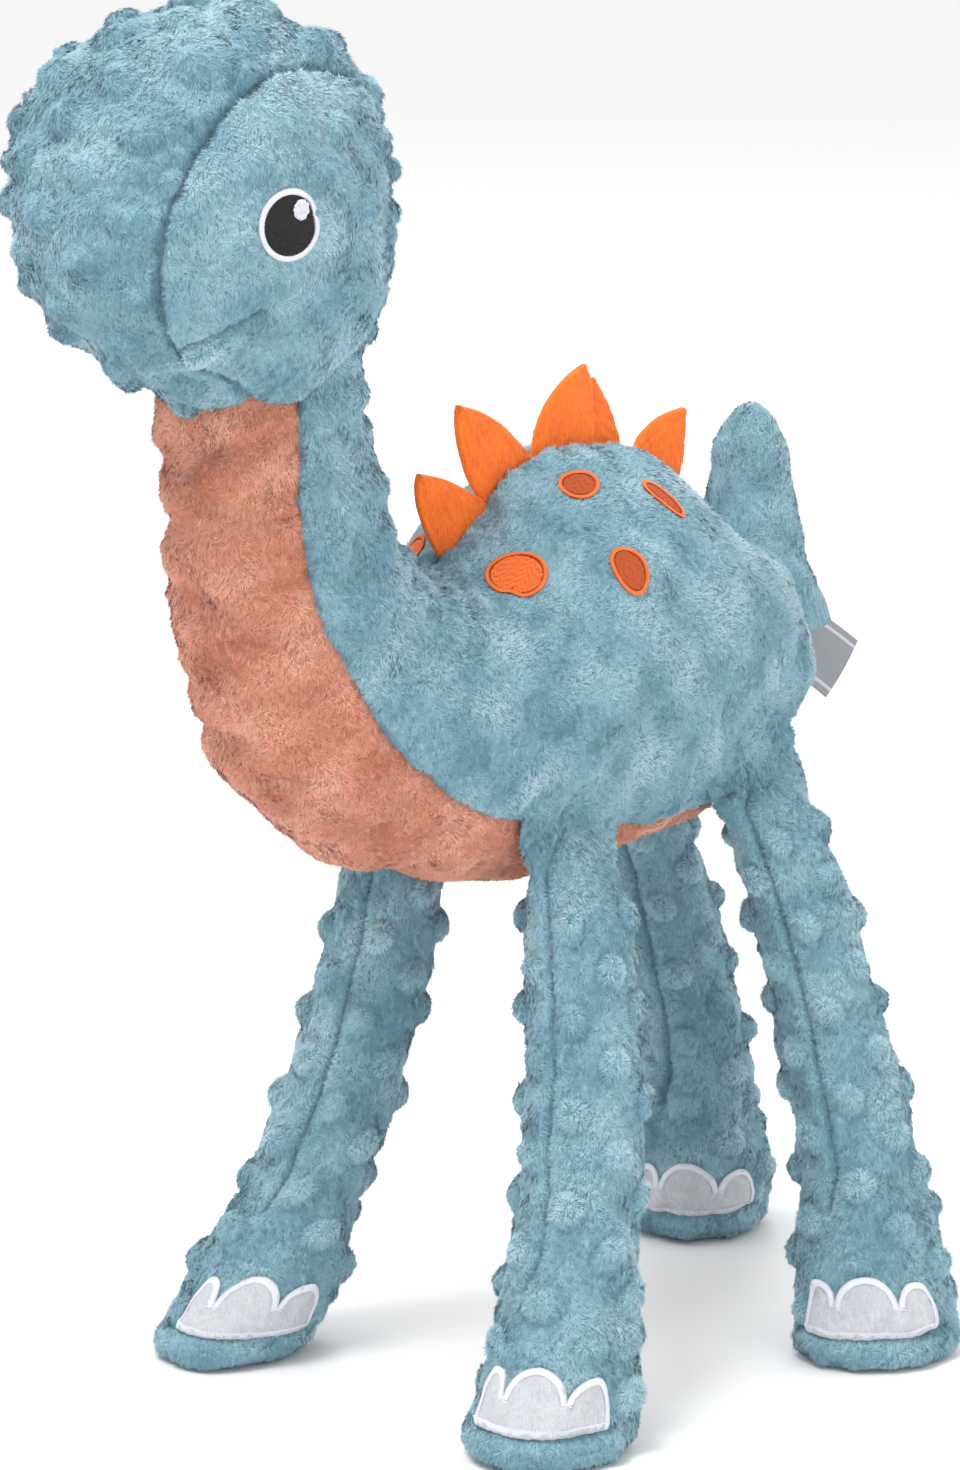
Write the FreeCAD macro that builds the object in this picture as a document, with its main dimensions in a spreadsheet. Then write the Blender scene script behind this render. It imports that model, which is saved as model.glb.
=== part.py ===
import FreeCAD, Part
import Sketcher
import os

doc = FreeCAD.newDocument("StuffedDinosaur")
sheet = doc.addObject("Spreadsheet::Sheet", "Sizes")
nextRow = [1]


def size(alias, value):
    """Put one driving number in the sheet under a plain name."""
    cell = "A%d" % nextRow[0]
    sheet.set(cell, str(value))
    sheet.setAlias(cell, alias)
    nextRow[0] += 1


# General sizes, millimetres. The dinosaur faces -Y and its left side is +X.
for alias, value in (
    ("coverThick", 1.6),
    ("trimThick", 0.9),
    ("feltThick", 2.4),
    ("soleThick", 1.8),
    ("travelGap", 0.5),
    ("reach", 260),
):
    size(alias, value)

# The neck and body are one padded tube. Each station has a point on the back,
# a point on the throat or belly, the half width and the belly panel's half width.
tubeStations = (
    ("Crown", -73, 368, -125, 366, 26, 24.5),
    ("Nape", -69, 345, -127, 341, 28.5, 26.5),
    ("UpperNeck", -67, 318, -129, 312, 30, 28),
    ("LowerNeck", -60, 294, -128, 286, 31.5, 28.5),
    ("NeckBase", -52, 276, -125, 262, 34, 30),
    ("Shoulder", -44, 266, -118, 233, 37, 34),
    ("Chest", -37, 264, -102, 204, 44, 39.5),
    ("Breast", -28, 267, -76, 183, 48, 41),
    ("Foreback", -14, 277, -44, 170, 50, 39),
    ("Midback", 2, 290, -14, 164, 51, 36),
    ("Crest", 20, 296, 16, 163, 51, 32),
    ("Hindback", 40, 295, 46, 166, 49, 28.5),
    ("Loin", 60, 287, 72, 173, 46, 24),
    ("Croup", 80, 273, 94, 185, 40, 18),
    ("Rump", 98, 258, 110, 199, 29, 11),
    ("RumpEnd", 112, 243, 119, 213, 14.5, 5),
)
for word, backY, backZ, bellyY, bellyZ, half, panel in tubeStations:
    size("tube%sBackY" % word, backY)
    size("tube%sBackZ" % word, backZ)
    size("tube%sBellyY" % word, bellyY)
    size("tube%sBellyZ" % word, bellyZ)
    size("tube%sHalf" % word, half)
    size("tube%sPanel" % word, panel)

# Neck hinge: an axis along X through the middle of the neck's base.
for alias, value in (
    ("neckHingeY", -88.5),
    ("neckHingeZ", 269),
    ("neckTilt", 11),
    ("neckForward", 31),
    ("neckBackward", 16),
    ("neckKnuckle", 29),
    ("neckKnuckleHalf", 19),
):
    size(alias, value)

# Head: a padded ball with a middle gusset, and a round well that the neck stands in.
for alias, value in (
    ("headY", -122),
    ("headZ", 384),
    ("headHalfX", 50),
    ("headHalfY", 59),
    ("headHalfZ", 56),
    ("gussetHalf", 33),
    ("chinTop", 352),
    ("wellY", -98),
    ("wellRadius", 32.5),
    ("wellTop", 370),
    ("eyeY", -126),
    ("eyeZ", 379),
    ("eyeHalfY", 9.2),
    ("eyeHalfZ", 10.6),
    ("eyeRim", 1.6),
    ("glintY", -129),
    ("glintZ", 384),
    ("glintRadius", 2.6),
):
    size(alias, value)

# Tail: round stations rising from the rump, with a ball root.
tailStations = (
    ("Root", 106, 240, 21),
    ("Low", 106, 252, 18.5),
    ("Base", 107, 264, 15.5),
    ("Middle", 108, 276, 12.5),
    ("High", 110, 288, 9.5),
    ("Tip", 111, 296, 5),
)
for word, y, z, radius in tailStations:
    size("tail%sY" % word, y)
    size("tail%sZ" % word, z)
    size("tail%sRadius" % word, radius)
for alias, value in (("tailHingeY", 107), ("tailHingeZ", 263), ("tailBall", 10), ("tailSide", 31)):
    size(alias, value)

# Leg stations: share of the way down, half size across (X) and along (Y), and tilt share.
legStations = (
    ("Seam", 0, 1.2, 20, 1),
    ("Tuck", 0.03, 3.4, 19.2, 0.8),
    ("Fold", 0.08, 9.0, 17, 0.45),
    ("Hip", 0.14, 14.2, 16.8, 0.15),
    ("Thigh", 0.22, 16, 17, 0),
    ("Knee", 0.4, 17, 18, 0),
    ("Shin", 0.6, 18, 19.5, 0),
    ("Ankle", 0.75, 19.5, 21.5, 0),
    ("Instep", 0.86, 22, 25, 0),
    ("Toe", 0.94, 22.5, 27, 0),
    ("Welt", 0.98, 20.5, 24.5, 0),
    ("Base", 1.0, 16, 20.5, 0),
)
for word, share, across, along, tilt in legStations:
    size("leg%sShare" % word, share)
    size("leg%sAcross" % word, across)
    size("leg%sAlong" % word, along)
    size("leg%sTilt" % word, tilt)
for alias, value in (
    ("legKnuckle", 12.3),
    ("legKnuckleHalf", 9.3),
    ("legHingeShare", 0.135),
    ("patchWide", 42),
    ("patchBottom", 7),
    ("patchTop", 27),
):
    size(alias, value)

# Each leg: seam point, foot point, bow of the middle, seam tilt, wedge angles, toe turn.
legPlaces = (
    ("leftFront", 40.1, -11, 184.7, 71.2, -49, 0, 9, 0, 31, 13, 36),
    ("rightFront", -40.1, -8, 184.7, -73, -54, 4, 10, 0, 31, 13, 46),
    ("leftRear", 36, 72, 192, 71, 98, 0, 10, 28, 13, 31, 46),
    ("rightRear", -36, 76, 192.6, -71, 156.5, 1, 13, 29, 13, 31, 45),
)
placeWords = ("SeamX", "SeamY", "SeamZ", "FootX", "FootY", "BowX", "BowY", "Tilt", "Fore", "Aft", "Toe")
for legPlace in legPlaces:
    for word, value in zip(placeWords, legPlace[1:]):
        size(legPlace[0] + word, value)

# Spikes: foot and tip of each felt leaf on the middle line.
spikes = (
    ("spike_1", -30, 260, -15.5, 270, -38, 292),
    ("spike_2", -12.5, 273, 10, 287, -22, 312),
    ("spike_3", 12, 287, 50, 290, 33, 318),
    ("spike_4", 55, 286, 74, 273, 76, 300),
)
spikeWords = ("FootY", "FootZ", "HeelY", "HeelZ", "TipY", "TipZ")
for spike in spikes:
    for word, value in zip(spikeWords, spike[1:]):
        size(spike[0].replace("_", "") + word, value)

# Flank spots: place and half sizes seen from the side, and turn.
spots = (
    ("spot_1", -22, 262, 9, 5, 20),
    ("spot_2", 10, 262, 7, 6, 0),
    ("spot_3", 10, 286, 7, 3.2, -10),
    ("spot_4", 37, 281, 8, 3, -30),
)
spotWords = ("Y", "Z", "Long", "Short", "Turn")
for spot in spots:
    for word, value in zip(spotWords, spot[1:]):
        size(spot[0].replace("_", "") + word, value)

for alias, value in (
    ("bulbRadius", 17),
    ("bulbY", 18),
    ("bulbZ", 228),
    ("reedRadius", 5),
    ("reedLong", 9),
    ("labelY", 108),
    ("labelZ", 220),
    ("labelWide", 20),
    ("labelLong", 40),
    ("labelThick", 1.2),
    ("labelTurn", -31),
):
    size(alias, value)

doc.recompute()


def ref(text):
    """Turn bare sheet names, written with a leading $, into sheet references."""
    return text.replace("$", "Sizes.")


def bind(item, **rules):
    for name, rule in rules.items():
        item.setExpression(name.replace("_", "."), ref(rule))
    return item


def place(item, x, y, z, axis="0;0;1", angle="0", extra=None):
    """Bind the whole placement: a point, and a turn about one axis through it."""
    turn = "create(<<rotation>>; create(<<vector>>; %s); %s)" % (axis, angle)
    if extra:
        turn += " * create(<<rotation>>; create(<<vector>>; %s); %s)" % extra
    rule = "create(<<placement>>; create(<<vector>>; %s; %s; %s); %s)" % (x, y, z, turn)
    item.setExpression("Placement", ref(rule))
    return item


def make(kind, name):
    return doc.addObject(kind, name)


def cut(name, base, tool):
    item = make("Part::Cut", name)
    item.Base = base
    item.Tool = tool
    return item


def common(name, first, second):
    item = make("Part::Common", name)
    item.Base = first
    item.Tool = second
    return item


def fuse(name, shapes):
    item = make("Part::MultiFuse", name)
    item.Shapes = shapes
    return item


def loft(name, sections):
    item = make("Part::Loft", name)
    item.Sections = sections
    item.Solid = True
    item.Ruled = False
    return item


def block(name, x, y, z, lengthX, lengthY, lengthZ, axis="1;0;0", angle="0"):
    """A box whose corner sits at a point, turned about that corner."""
    item = make("Part::Box", name)
    bind(item, Length=lengthX, Width=lengthY, Height=lengthZ)
    return place(item, x, y, z, axis, angle)


def rod(name, x, y, z, radius, half):
    """A cylinder along X, centred on a point."""
    item = make("Part::Cylinder", name)
    bind(item, Radius=radius, Height="2 * (%s)" % half)
    return place(item, "%s - (%s)" % (x, half), y, z, "0;1;0", "90")


nodes = {}


def keep(item, label):
    item.Label = label
    nodes[label] = item
    return item


# The padded tube of neck and body.
def tubeRule(word):
    a = "$tube%s" % word
    middleY = "(%sBackY + %sBellyY) / 2" % (a, a)
    middleZ = "(%sBackZ + %sBellyZ) / 2" % (a, a)
    deep = "sqrt(pow(%sBellyY - %sBackY; 2) + pow(%sBellyZ - %sBackZ; 2)) / 2" % (a, a, a, a)
    angle = "atan2(%sBellyZ - %sBackZ; %sBellyY - %sBackY)" % (a, a, a, a)
    return middleY, middleZ, deep, angle


def tubeRing(word, name, grow):
    middleY, middleZ, deep, angle = tubeRule(word)
    ring = make("Part::Ellipse", name + word)
    bind(ring, MajorRadius=deep + " + (%s)" % grow, MinorRadius="$tube%sHalf + (%s)" % (word, grow))
    return place(ring, "0", middleY, middleZ, "1;0;0", angle, ("1;1;0", "180"))


def panelFrame(word, part):
    middleY, middleZ, deep, angle = tubeRule(word)
    face = make("Part::Plane", part + "Panel" + word)
    bind(face, Length="1.4 * " + deep, Width="2 * $tube%sPanel" % word)
    return place(face, "-$tube%sPanel" % word, middleY, middleZ, "1;0;0", angle, ("1;1;0", "180"))


stationWords = [station[0] for station in tubeStations]
neckWords = stationWords[:7]
bodyWords = stationWords[4:]


def tubeLoft(part, words, kind, grow):
    return loft(part + kind, [tubeRing(word, part + kind, grow) for word in words])


neckOuter = tubeLoft("neck", neckWords, "Outer", "0")
neckInner = tubeLoft("neck", neckWords, "Inner", "-$coverThick")
bodyOuter = tubeLoft("body", bodyWords, "Outer", "0")
bodyInner = tubeLoft("body", bodyWords[:-1], "Inner", "-$coverThick")
bodyProud = tubeLoft("body", bodyWords[1:-1], "Proud", "$trimThick")
neckPanel = loft("neckPanel", [panelFrame(word, "neck") for word in neckWords])
bodyPanel = loft("bodyPanel", [panelFrame(word, "body") for word in bodyWords])

# Regions that share out the tube between the neck and the body.
hinge = ("$neckHingeY", "$neckHingeZ")
wide = ("-$reach", "2 * $reach")


def wedge(name, y, z, angle, deep="$reach", tall="$reach"):
    """A quarter space with its edge along X through (y, z), turned about that edge."""
    return block(name, wide[0], y, z, wide[1], deep, tall, angle=angle)


neckSpace = fuse(
    "neckSpace",
    [
        wedge("neckSpaceAft", *hinge, "$neckTilt + $neckBackward"),
        wedge("neckSpaceFore", *hinge, "$neckTilt + 90 - $neckForward"),
    ],
)
leftSpace = block("leftSpace", "0", "-2 * $reach", "-$reach", "$reach", "4 * $reach", "3 * $reach")
knuckle = rod("neckKnuckle", "0", *hinge, "$neckKnuckle", "$neckKnuckleHalf")
socket = rod("neckSocket", "0", *hinge, "$neckKnuckle + $travelGap", "$neckKnuckleHalf + $travelGap")

# Tail solids.
def tailRing(word, name, grow):
    ring = make("Part::Circle", name + word)
    bind(ring, Radius="$tail%sRadius + (%s)" % (word, grow))
    return place(ring, "0", "$tail%sY" % word, "$tail%sZ" % word)


tailWords = [station[0] for station in tailStations]
tailOuter = loft("tailOuter", [tailRing(word, "tailOut", "0") for word in tailWords])
tailInner = loft("tailInner", [tailRing(word, "tailIn", "-$coverThick") for word in tailWords[:-1]])
tailSpace = fuse(
    "tailSpace",
    [
        block("tailSpaceRight", "0", "0", "$tailHingeZ", *["$reach"] * 3, axis="0;1;0", angle="-$tailSide"),
        block(
            "tailSpaceLeft", "0", "0", "$tailHingeZ", *["$reach"] * 3, axis="0;1;0", angle="$tailSide - 90"
        ),
    ],
)
tailFoot = block(
    "tailFoot", "-50", "$tailHingeY - 50", "$tailHingeZ - 40", "100", "100", "40 - $travelGap", angle="0"
)
tailClear = block(
    "tailClear", "-50", "$tailHingeY - 18", "$tailHingeZ - 2 * $travelGap", "100", "60", "50", angle="0"
)


def ball(name, radius):
    item = make("Part::Sphere", name)
    bind(item, Radius=radius)
    return place(item, "0", "$tailHingeY", "$tailHingeZ")


tailBall = ball("tailBall", "$tailBall")
tailCup = ball("tailCup", "$tailBall + $travelGap")
tailRoot = common("tailRoot", tailOuter, tailFoot)

# Body pieces.
def panels(part, shell, panelTool):
    """Split a tube's skin into its middle panel, left side and right side."""
    sides = cut(part + "Sides", shell, panelTool)
    middle = common(part + "Middle", shell, panelTool)
    return middle, common(part + "Left", sides, leftSpace), cut(part + "Right", sides, leftSpace)


bodyShell = cut("bodyShell", bodyOuter, bodyInner)
bodyMiddle, bodyLeft, bodyRight = panels("body", bodyShell, bodyPanel)
bodyAway = fuse("bodyAway", [tailRoot, tailClear])
keep(cut("torsoLeft", bodyLeft, bodyAway), "torso_left_cover")
keep(cut("torsoRight", bodyRight, bodyAway), "torso_right_cover")
keep(bodyMiddle, "belly_cover")

bulb = make("Part::Sphere", "bulb")
bind(bulb, Radius="$bulbRadius")
place(bulb, "0", "$bulbY", "$bulbZ")
reed = rod("reed", "$bulbRadius + $reedLong / 2 - 2", "$bulbY", "$bulbZ", "$reedRadius", "$reedLong / 2")
keep(cut("bulbPiece", bulb, reed), "squeaker_bulb")
keep(reed, "squeaker_reed")
bodyAwayInside = fuse("bodyAwayInside", [tailClear, bulb, reed])
bodyFill = cut("bodyFill", bodyInner, bodyAwayInside)
keep(fuse("torsoFill", [bodyFill, knuckle, tailRoot, tailBall]), "torso_stuffing")

# Neck pieces.
neckSolid = cut("neckSolid", common("neckUp", neckOuter, neckSpace), socket)
neckShell = cut("neckShell", neckSolid, neckInner)
neckMiddle, neckLeft, neckRight = panels("neck", neckShell, neckPanel)
keep(neckMiddle, "neck_front_cover")
keep(neckLeft, "neck_left_cover")
keep(neckRight, "neck_right_cover")
keep(common("neckFill", neckSolid, neckInner), "neck_stuffing")

# Tail pieces.
tailShell = common("tailShellUp", cut("tailShell", tailOuter, tailInner), tailSpace)
tailHollow = cut("tailHollow", tailShell, tailCup)
keep(common("tailLeft", tailHollow, leftSpace), "tail_left_cover")
keep(cut("tailRight", tailHollow, leftSpace), "tail_right_cover")
keep(cut("tailFill", common("tailFillUp", tailInner, tailSpace), tailCup), "tail_stuffing")


# Head pieces.
def egg(name, grow):
    item = make("Part::Ellipsoid", name)
    bind(
        item,
        Radius1="$headHalfZ + (%s)" % grow,
        Radius2="$headHalfX + (%s)" % grow,
        Radius3="$headHalfY + (%s)" % grow,
    )
    return place(item, "0", "$headY", "$headZ")


headOuter = egg("headOuter", "0")
headInner = egg("headInner", "-$coverThick")
headProud = egg("headProud", "$trimThick")
well = make("Part::Cylinder", "well")
bind(well, Radius="$wellRadius", Height="120")
place(well, "0", "$wellY", "$wellTop - 120")
slab = block("slab", "-$gussetHalf", "$headY - 100", "$headZ - 100", "2 * $gussetHalf", "200", "200")
chinSlab = block("chinSlab", "-100", "$headY - 100", "$chinTop - 100", "200", "200", "100")
headShell = cut("headShell", cut("headHollow", headOuter, headInner), well)
gusset = common("gusset", headShell, slab)
cheeks = cut("cheeks", headShell, slab)
keep(cut("gussetTop", gusset, chinSlab), "head_gusset_cover")
keep(common("gussetChin", gusset, chinSlab), "chin_cover")
keep(common("cheekLeft", cheeks, leftSpace), "left_cheek_cover")
keep(cut("cheekRight", cheeks, leftSpace), "right_cheek_cover")
keep(cut("headFill", headInner, well), "head_stuffing")


def sidePlug(name, y, z, halfY, halfZ, turn="0"):
    """An oval plug along X, right through the object."""
    oval = make("Part::Ellipse", name + "Oval")
    bind(oval, MajorRadius=halfY, MinorRadius=halfZ)
    place(oval, "0", y, z, "1;0;0", turn, ("1;1;1", "120"))
    plug = make("Part::Extrusion", name)
    plug.Base = oval
    plug.DirMode = "Custom"
    plug.Dir = FreeCAD.Vector(1, 0, 0)
    plug.Solid = True
    bind(plug, LengthFwd="$reach / 2", LengthRev="$reach / 2")
    return plug


eyeBand = cut("eyeBand", headProud, headOuter)
eyeAll = sidePlug("eyeAll", "$eyeY", "$eyeZ", "$eyeHalfZ", "$eyeHalfY", "90")
eyeDark = sidePlug("eyeDark", "$eyeY", "$eyeZ", "$eyeHalfZ - $eyeRim", "$eyeHalfY - $eyeRim", "90")
eyeLight = sidePlug("eyeLight", "$glintY", "$glintZ", "$glintRadius", "$glintRadius - 0.01")
eyePieces = (
    ("ring", cut("eyeRingTool", eyeAll, eyeDark)),
    ("pupil", cut("eyePupilTool", eyeDark, eyeLight)),
    ("glint", common("eyeGlintTool", eyeDark, eyeLight)),
)
for word, tool in eyePieces:
    both = common("eyeBoth" + word, eyeBand, tool)
    keep(common("eyeLeft" + word, both, leftSpace), "left_eye_" + word)
    keep(cut("eyeRight" + word, both, leftSpace), "right_eye_" + word)

# Embroidered spots on the flanks.
spotBand = cut("spotBand", bodyProud, bodyOuter)
for name, *rest in spots:
    word = name.replace("_", "")
    tool = sidePlug(
        word + "Tool", "$%sY" % word, "$%sZ" % word, "$%sLong" % word, "$%sShort" % word, "$%sTurn" % word
    )
    both = common(word + "Both", spotBand, tool)
    keep(common(word + "Left", both, leftSpace), "spot_left_" + name[-1])
    keep(cut(word + "Right", both, leftSpace), "spot_right_" + name[-1])


# Felt spikes: padded sketches on the middle plane.
def originPlane(body, role):
    return next(item for item in body.Origin.OriginFeatures if item.Role == role)


for name, *rest in spikes:
    word = name.replace("_", "")
    body = make("PartDesign::Body", word + "Body")
    sketch = body.newObject("Sketcher::SketchObject", word + "Sketch")
    sketch.AttachmentSupport = (originPlane(body, "YZ_Plane"), [""])
    sketch.MapMode = "FlatFace"
    corners = [(rest[0], rest[1]), (rest[2], rest[3]), (rest[4], rest[5])]
    points = [FreeCAD.Vector(y, z, 0) for y, z in corners]
    for index in range(3):
        sketch.addGeometry(Part.LineSegment(points[index], points[(index + 1) % 3]), False)
    for index in range(3):
        sketch.addConstraint(Sketcher.Constraint("Coincident", index, 2, (index + 1) % 3, 1))
    for index, corner in enumerate(("Foot", "Heel", "Tip")):
        for kind, axis, value in (("DistanceX", "Y", points[index].x), ("DistanceY", "Z", points[index].y)):
            number = sketch.addConstraint(Sketcher.Constraint(kind, -1, 1, index, 1, value))
            sketch.setExpression("Constraints[%d]" % number, ref("$%s%s%s" % (word, corner, axis)))
    pad = body.newObject("PartDesign::Pad", word + "Pad")
    pad.Profile = sketch
    pad.Midplane = True
    bind(pad, Length="$feltThick")
    keep(cut(word + "Leaf", body, bodyOuter), name)

label = block(
    "labelBox", "-$labelThick / 2", "$labelY", "$labelZ", "$labelThick", "$labelLong", "$labelWide",
    angle="$labelTurn"
)
keep(cut("labelFree", label, bodyOuter), "side_label")


# Legs.
def legPoint(leg, share):
    x = "$%sSeamX * (1 - %s) + $%sFootX * %s + $%sBowX * 4 * %s * (1 - %s)"
    y = "$%sSeamY * (1 - %s) + $%sFootY * %s + $%sBowY * 4 * %s * (1 - %s)"
    z = "$%sSeamZ * (1 - %s) + $soleThick * %s"
    values = (leg, share, leg, share, leg, share, share)
    return x % values, y % values, z % (leg, share, share)


def legRing(leg, word, name, grow):
    ring = make("Part::Ellipse", leg + name + word)
    along = "$leg%sAlong + (%s)" % (word, grow)
    across = "$leg%sAcross + (%s)" % (word, grow)
    bind(ring, MajorRadius=along, MinorRadius=across)
    angle = "$%sTilt * $leg%sTilt" % (leg, word)
    return place(ring, *legPoint(leg, "$leg%sShare" % word), "1;0;0", angle, ("0;0;1", "90"))


legWords = [station[0] for station in legStations]
labels = {
    "leftFront": "left_front",
    "rightFront": "right_front",
    "leftRear": "left_rear",
    "rightRear": "right_rear",
}
for leg, label in labels.items():
    over = loft(leg + "Over", [legRing(leg, word, "Top", "0") for word in legWords[:5]])
    over.Ruled = True
    outer = loft(leg + "Outer", [legRing(leg, word, "Out", "0") for word in legWords[2:]])
    inner = loft(leg + "Inner", [legRing(leg, word, "In", "-$coverThick") for word in legWords[2:]])
    proud = loft(leg + "Proud", [legRing(leg, word, "Pro", "$trimThick") for word in legWords[6:]])
    hip = legPoint(leg, "$legHingeShare")
    lower = fuse(
        leg + "Lower",
        [
            wedge(leg + "LowerFore", hip[1], hip[2], "180 + $%sFore" % leg),
            wedge(leg + "LowerAft", hip[1], hip[2], "270 - $%sAft" % leg),
        ],
    )
    upper = fuse(
        leg + "Upper",
        [wedge(leg + "UpperFore", *hip[1:], "90"), wedge(leg + "UpperAft", *hip[1:], "0")],
    )
    pin = rod(leg + "Pin", *hip, "$legKnuckle", "$legKnuckleHalf")
    bore = rod(leg + "Bore", *hip, "$legKnuckle + $travelGap", "$legKnuckleHalf + $travelGap")
    top = common(leg + "TopHalf", over, upper)
    keep(fuse(leg + "Top", [top, pin]), label + "_leg_top")
    skin = common(leg + "SkinLow", cut(leg + "Skin", outer, inner), lower)
    keep(cut(leg + "Cover", skin, bore), label + "_leg_cover")
    keep(cut(leg + "Fill", common(leg + "FillLow", inner, lower), bore), label + "_leg_stuffing")
    base = make("Part::Ellipse", leg + "SoleOval")
    bind(base, MajorRadius="$legBaseAlong", MinorRadius="$legBaseAcross")
    place(base, "$%sFootX" % leg, "$%sFootY" % leg, "0", "0;0;1", "90")
    sole = make("Part::Extrusion", leg + "Sole")
    sole.Base = base
    sole.DirMode = "Custom"
    sole.Dir = FreeCAD.Vector(0, 0, 1)
    sole.Solid = True
    bind(sole, LengthFwd="$soleThick")
    keep(sole, label + "_sole")
    turn = "$%sToe" % leg
    cornerX = "$%sFootX - $patchWide / 2 * cos(%s) + 40 * sin(%s)" % (leg, turn, turn)
    cornerY = "$%sFootY - $patchWide / 2 * sin(%s) - 40 * cos(%s)" % (leg, turn, turn)
    toeBox = block(
        leg + "ToeBox", cornerX, cornerY, "$patchBottom", "$patchWide", "40", "$patchTop - $patchBottom",
        axis="0;0;1", angle=turn
    )
    patch = common(leg + "PatchBlock", proud, toeBox)
    keep(cut(leg + "Patch", patch, outer), label + "_toe_patch")

doc.recompute()

faults = [item.Name for item in doc.Objects if set(item.State) & {"Invalid", "Error"}]
for name, item in nodes.items():
    if item.Shape.isNull() or not item.Shape.isValid() or item.Shape.Volume < 1:
        faults.append("bad shape " + name)
if faults:
    raise RuntimeError("not built: " + ", ".join(faults))

os.makedirs("parts", exist_ok=True)
for name, item in nodes.items():
    item.Shape.exportStep("parts/%s.step" % name)
print("written", len(nodes))
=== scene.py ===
import bpy
import math
import numpy as np
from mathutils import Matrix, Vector
from mathutils.bvhtree import BVHTree


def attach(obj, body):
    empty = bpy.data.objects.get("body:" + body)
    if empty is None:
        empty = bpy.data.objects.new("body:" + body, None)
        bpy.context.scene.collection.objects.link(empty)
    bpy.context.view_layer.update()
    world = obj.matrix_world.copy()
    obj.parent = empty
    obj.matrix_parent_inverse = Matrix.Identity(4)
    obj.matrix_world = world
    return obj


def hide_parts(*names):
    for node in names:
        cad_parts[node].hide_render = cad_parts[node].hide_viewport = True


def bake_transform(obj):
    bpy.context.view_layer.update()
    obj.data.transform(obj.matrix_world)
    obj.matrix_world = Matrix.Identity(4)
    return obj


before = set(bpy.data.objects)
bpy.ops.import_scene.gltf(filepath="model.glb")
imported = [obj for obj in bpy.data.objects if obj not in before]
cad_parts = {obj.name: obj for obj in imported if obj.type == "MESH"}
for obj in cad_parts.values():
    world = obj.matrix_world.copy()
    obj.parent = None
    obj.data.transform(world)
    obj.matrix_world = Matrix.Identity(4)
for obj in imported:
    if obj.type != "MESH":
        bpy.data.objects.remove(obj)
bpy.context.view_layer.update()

mm = 0.001

# camera, floor and light
view = dict(turn=47, rise=12, distance=1.8, target=(0.044, -0.052, 0.220), lens=146.9)
turn, rise = math.radians(view["turn"]), math.radians(view["rise"])
toCamera = Vector((math.sin(turn) * math.cos(rise), -math.cos(turn) * math.cos(rise), math.sin(rise)))
camera = bpy.data.objects.new("camera", bpy.data.cameras.new("camera"))
bpy.context.scene.collection.objects.link(camera)
camera.location = Vector(view["target"]) + toCamera * view["distance"]
camera.rotation_euler = toCamera.to_track_quat("Z", "Y").to_euler()
camera.data.lens = view["lens"]
camera.data.clip_end = 50
bpy.context.scene.camera = camera
bpy.context.scene.view_settings.view_transform = "Standard"


def areaLight(name, place, aim, size, power, colour=(1, 1, 1)):
    data = bpy.data.lights.new(name, "AREA")
    data.shape = "DISK"
    data.size = size
    data.energy = power
    data.color = colour
    lamp = bpy.data.objects.new(name, data)
    bpy.context.scene.collection.objects.link(lamp)
    lamp.location = place
    lamp.rotation_euler = (Vector(place) - Vector(aim)).to_track_quat("Z", "Y").to_euler()


areaLight("keyLight", (0.2, -1.3, 2.6), (0, 0, 0.25), 1.2, 48)
areaLight("fillLight", (2.3, -0.6, 1.0), (0, 0, 0.2), 1.6, 13)
areaLight("backLight", (-1.2, 1.4, 2.0), (0, 0, 0.25), 1.2, 16)
world = bpy.data.worlds.new("studio")
bpy.context.scene.world = world
world.use_nodes = True
world.node_tree.nodes["Background"].inputs["Color"].default_value = (1, 1, 1, 1)
world.node_tree.nodes["Background"].inputs["Strength"].default_value = 0.98
floorMesh = bpy.data.meshes.new("floor")
reach = 6
floorCorners = [(-reach, -reach, 0), (reach, -reach, 0), (reach, reach, 0), (-reach, reach, 0)]
floorMesh.from_pydata(floorCorners, [], [(0, 1, 2, 3)])
floor = bpy.data.objects.new("floor", floorMesh)
bpy.context.scene.collection.objects.link(floor)
floorPaint = bpy.data.materials.new("floorPaint")
floorPaint.use_nodes = True
floorPaint.node_tree.nodes["Principled BSDF"].inputs["Base Color"].default_value = (0.9, 0.9, 0.9, 1)
floorPaint.node_tree.nodes["Principled BSDF"].inputs["Roughness"].default_value = 0.8
floorMesh.materials.append(floorPaint)
print("stage ready")


# small tools for grids of points
def ripple(points, scale, seed, waves=14):
    # smooth seeded noise of about unit size at points in millimetres
    random = np.random.default_rng(seed)
    directions = random.normal(size=(waves, 3))
    directions /= np.linalg.norm(directions, axis=1)[:, None]
    lengths = 2 * np.pi / (scale * random.uniform(0.7, 1.6, waves))
    phases = random.uniform(0, 2 * np.pi, waves)
    total = np.zeros(points.shape[:-1])
    for direction, length, phase in zip(directions, lengths, phases):
        total += np.sin(points @ direction * length + phase)
    return total * math.sqrt(2 / waves)


def resample(values, places, closed=False):
    # smooth curve through the first axis of values, read at fractional places
    count = len(values)
    first = np.floor(places).astype(int)
    part = (places - first).reshape((-1,) + (1,) * (values.ndim - 1))

    def pick(offset):
        index = first + offset
        if closed:
            return values[index % count]
        inside = values[np.clip(index, 0, count - 1)]
        low = (index < 0).reshape(part.shape)
        high = (index > count - 1).reshape(part.shape)
        inside = np.where(low, 2 * values[0] - values[1], inside)
        return np.where(high, 2 * values[-1] - values[-2], inside)

    a, b, c, d = pick(-1), pick(0), pick(1), pick(2)
    return b + 0.5 * part * (c - a + part * (2 * a - 5 * b + 4 * c - d + part * (3 * (b - c) + d - a)))


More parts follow.
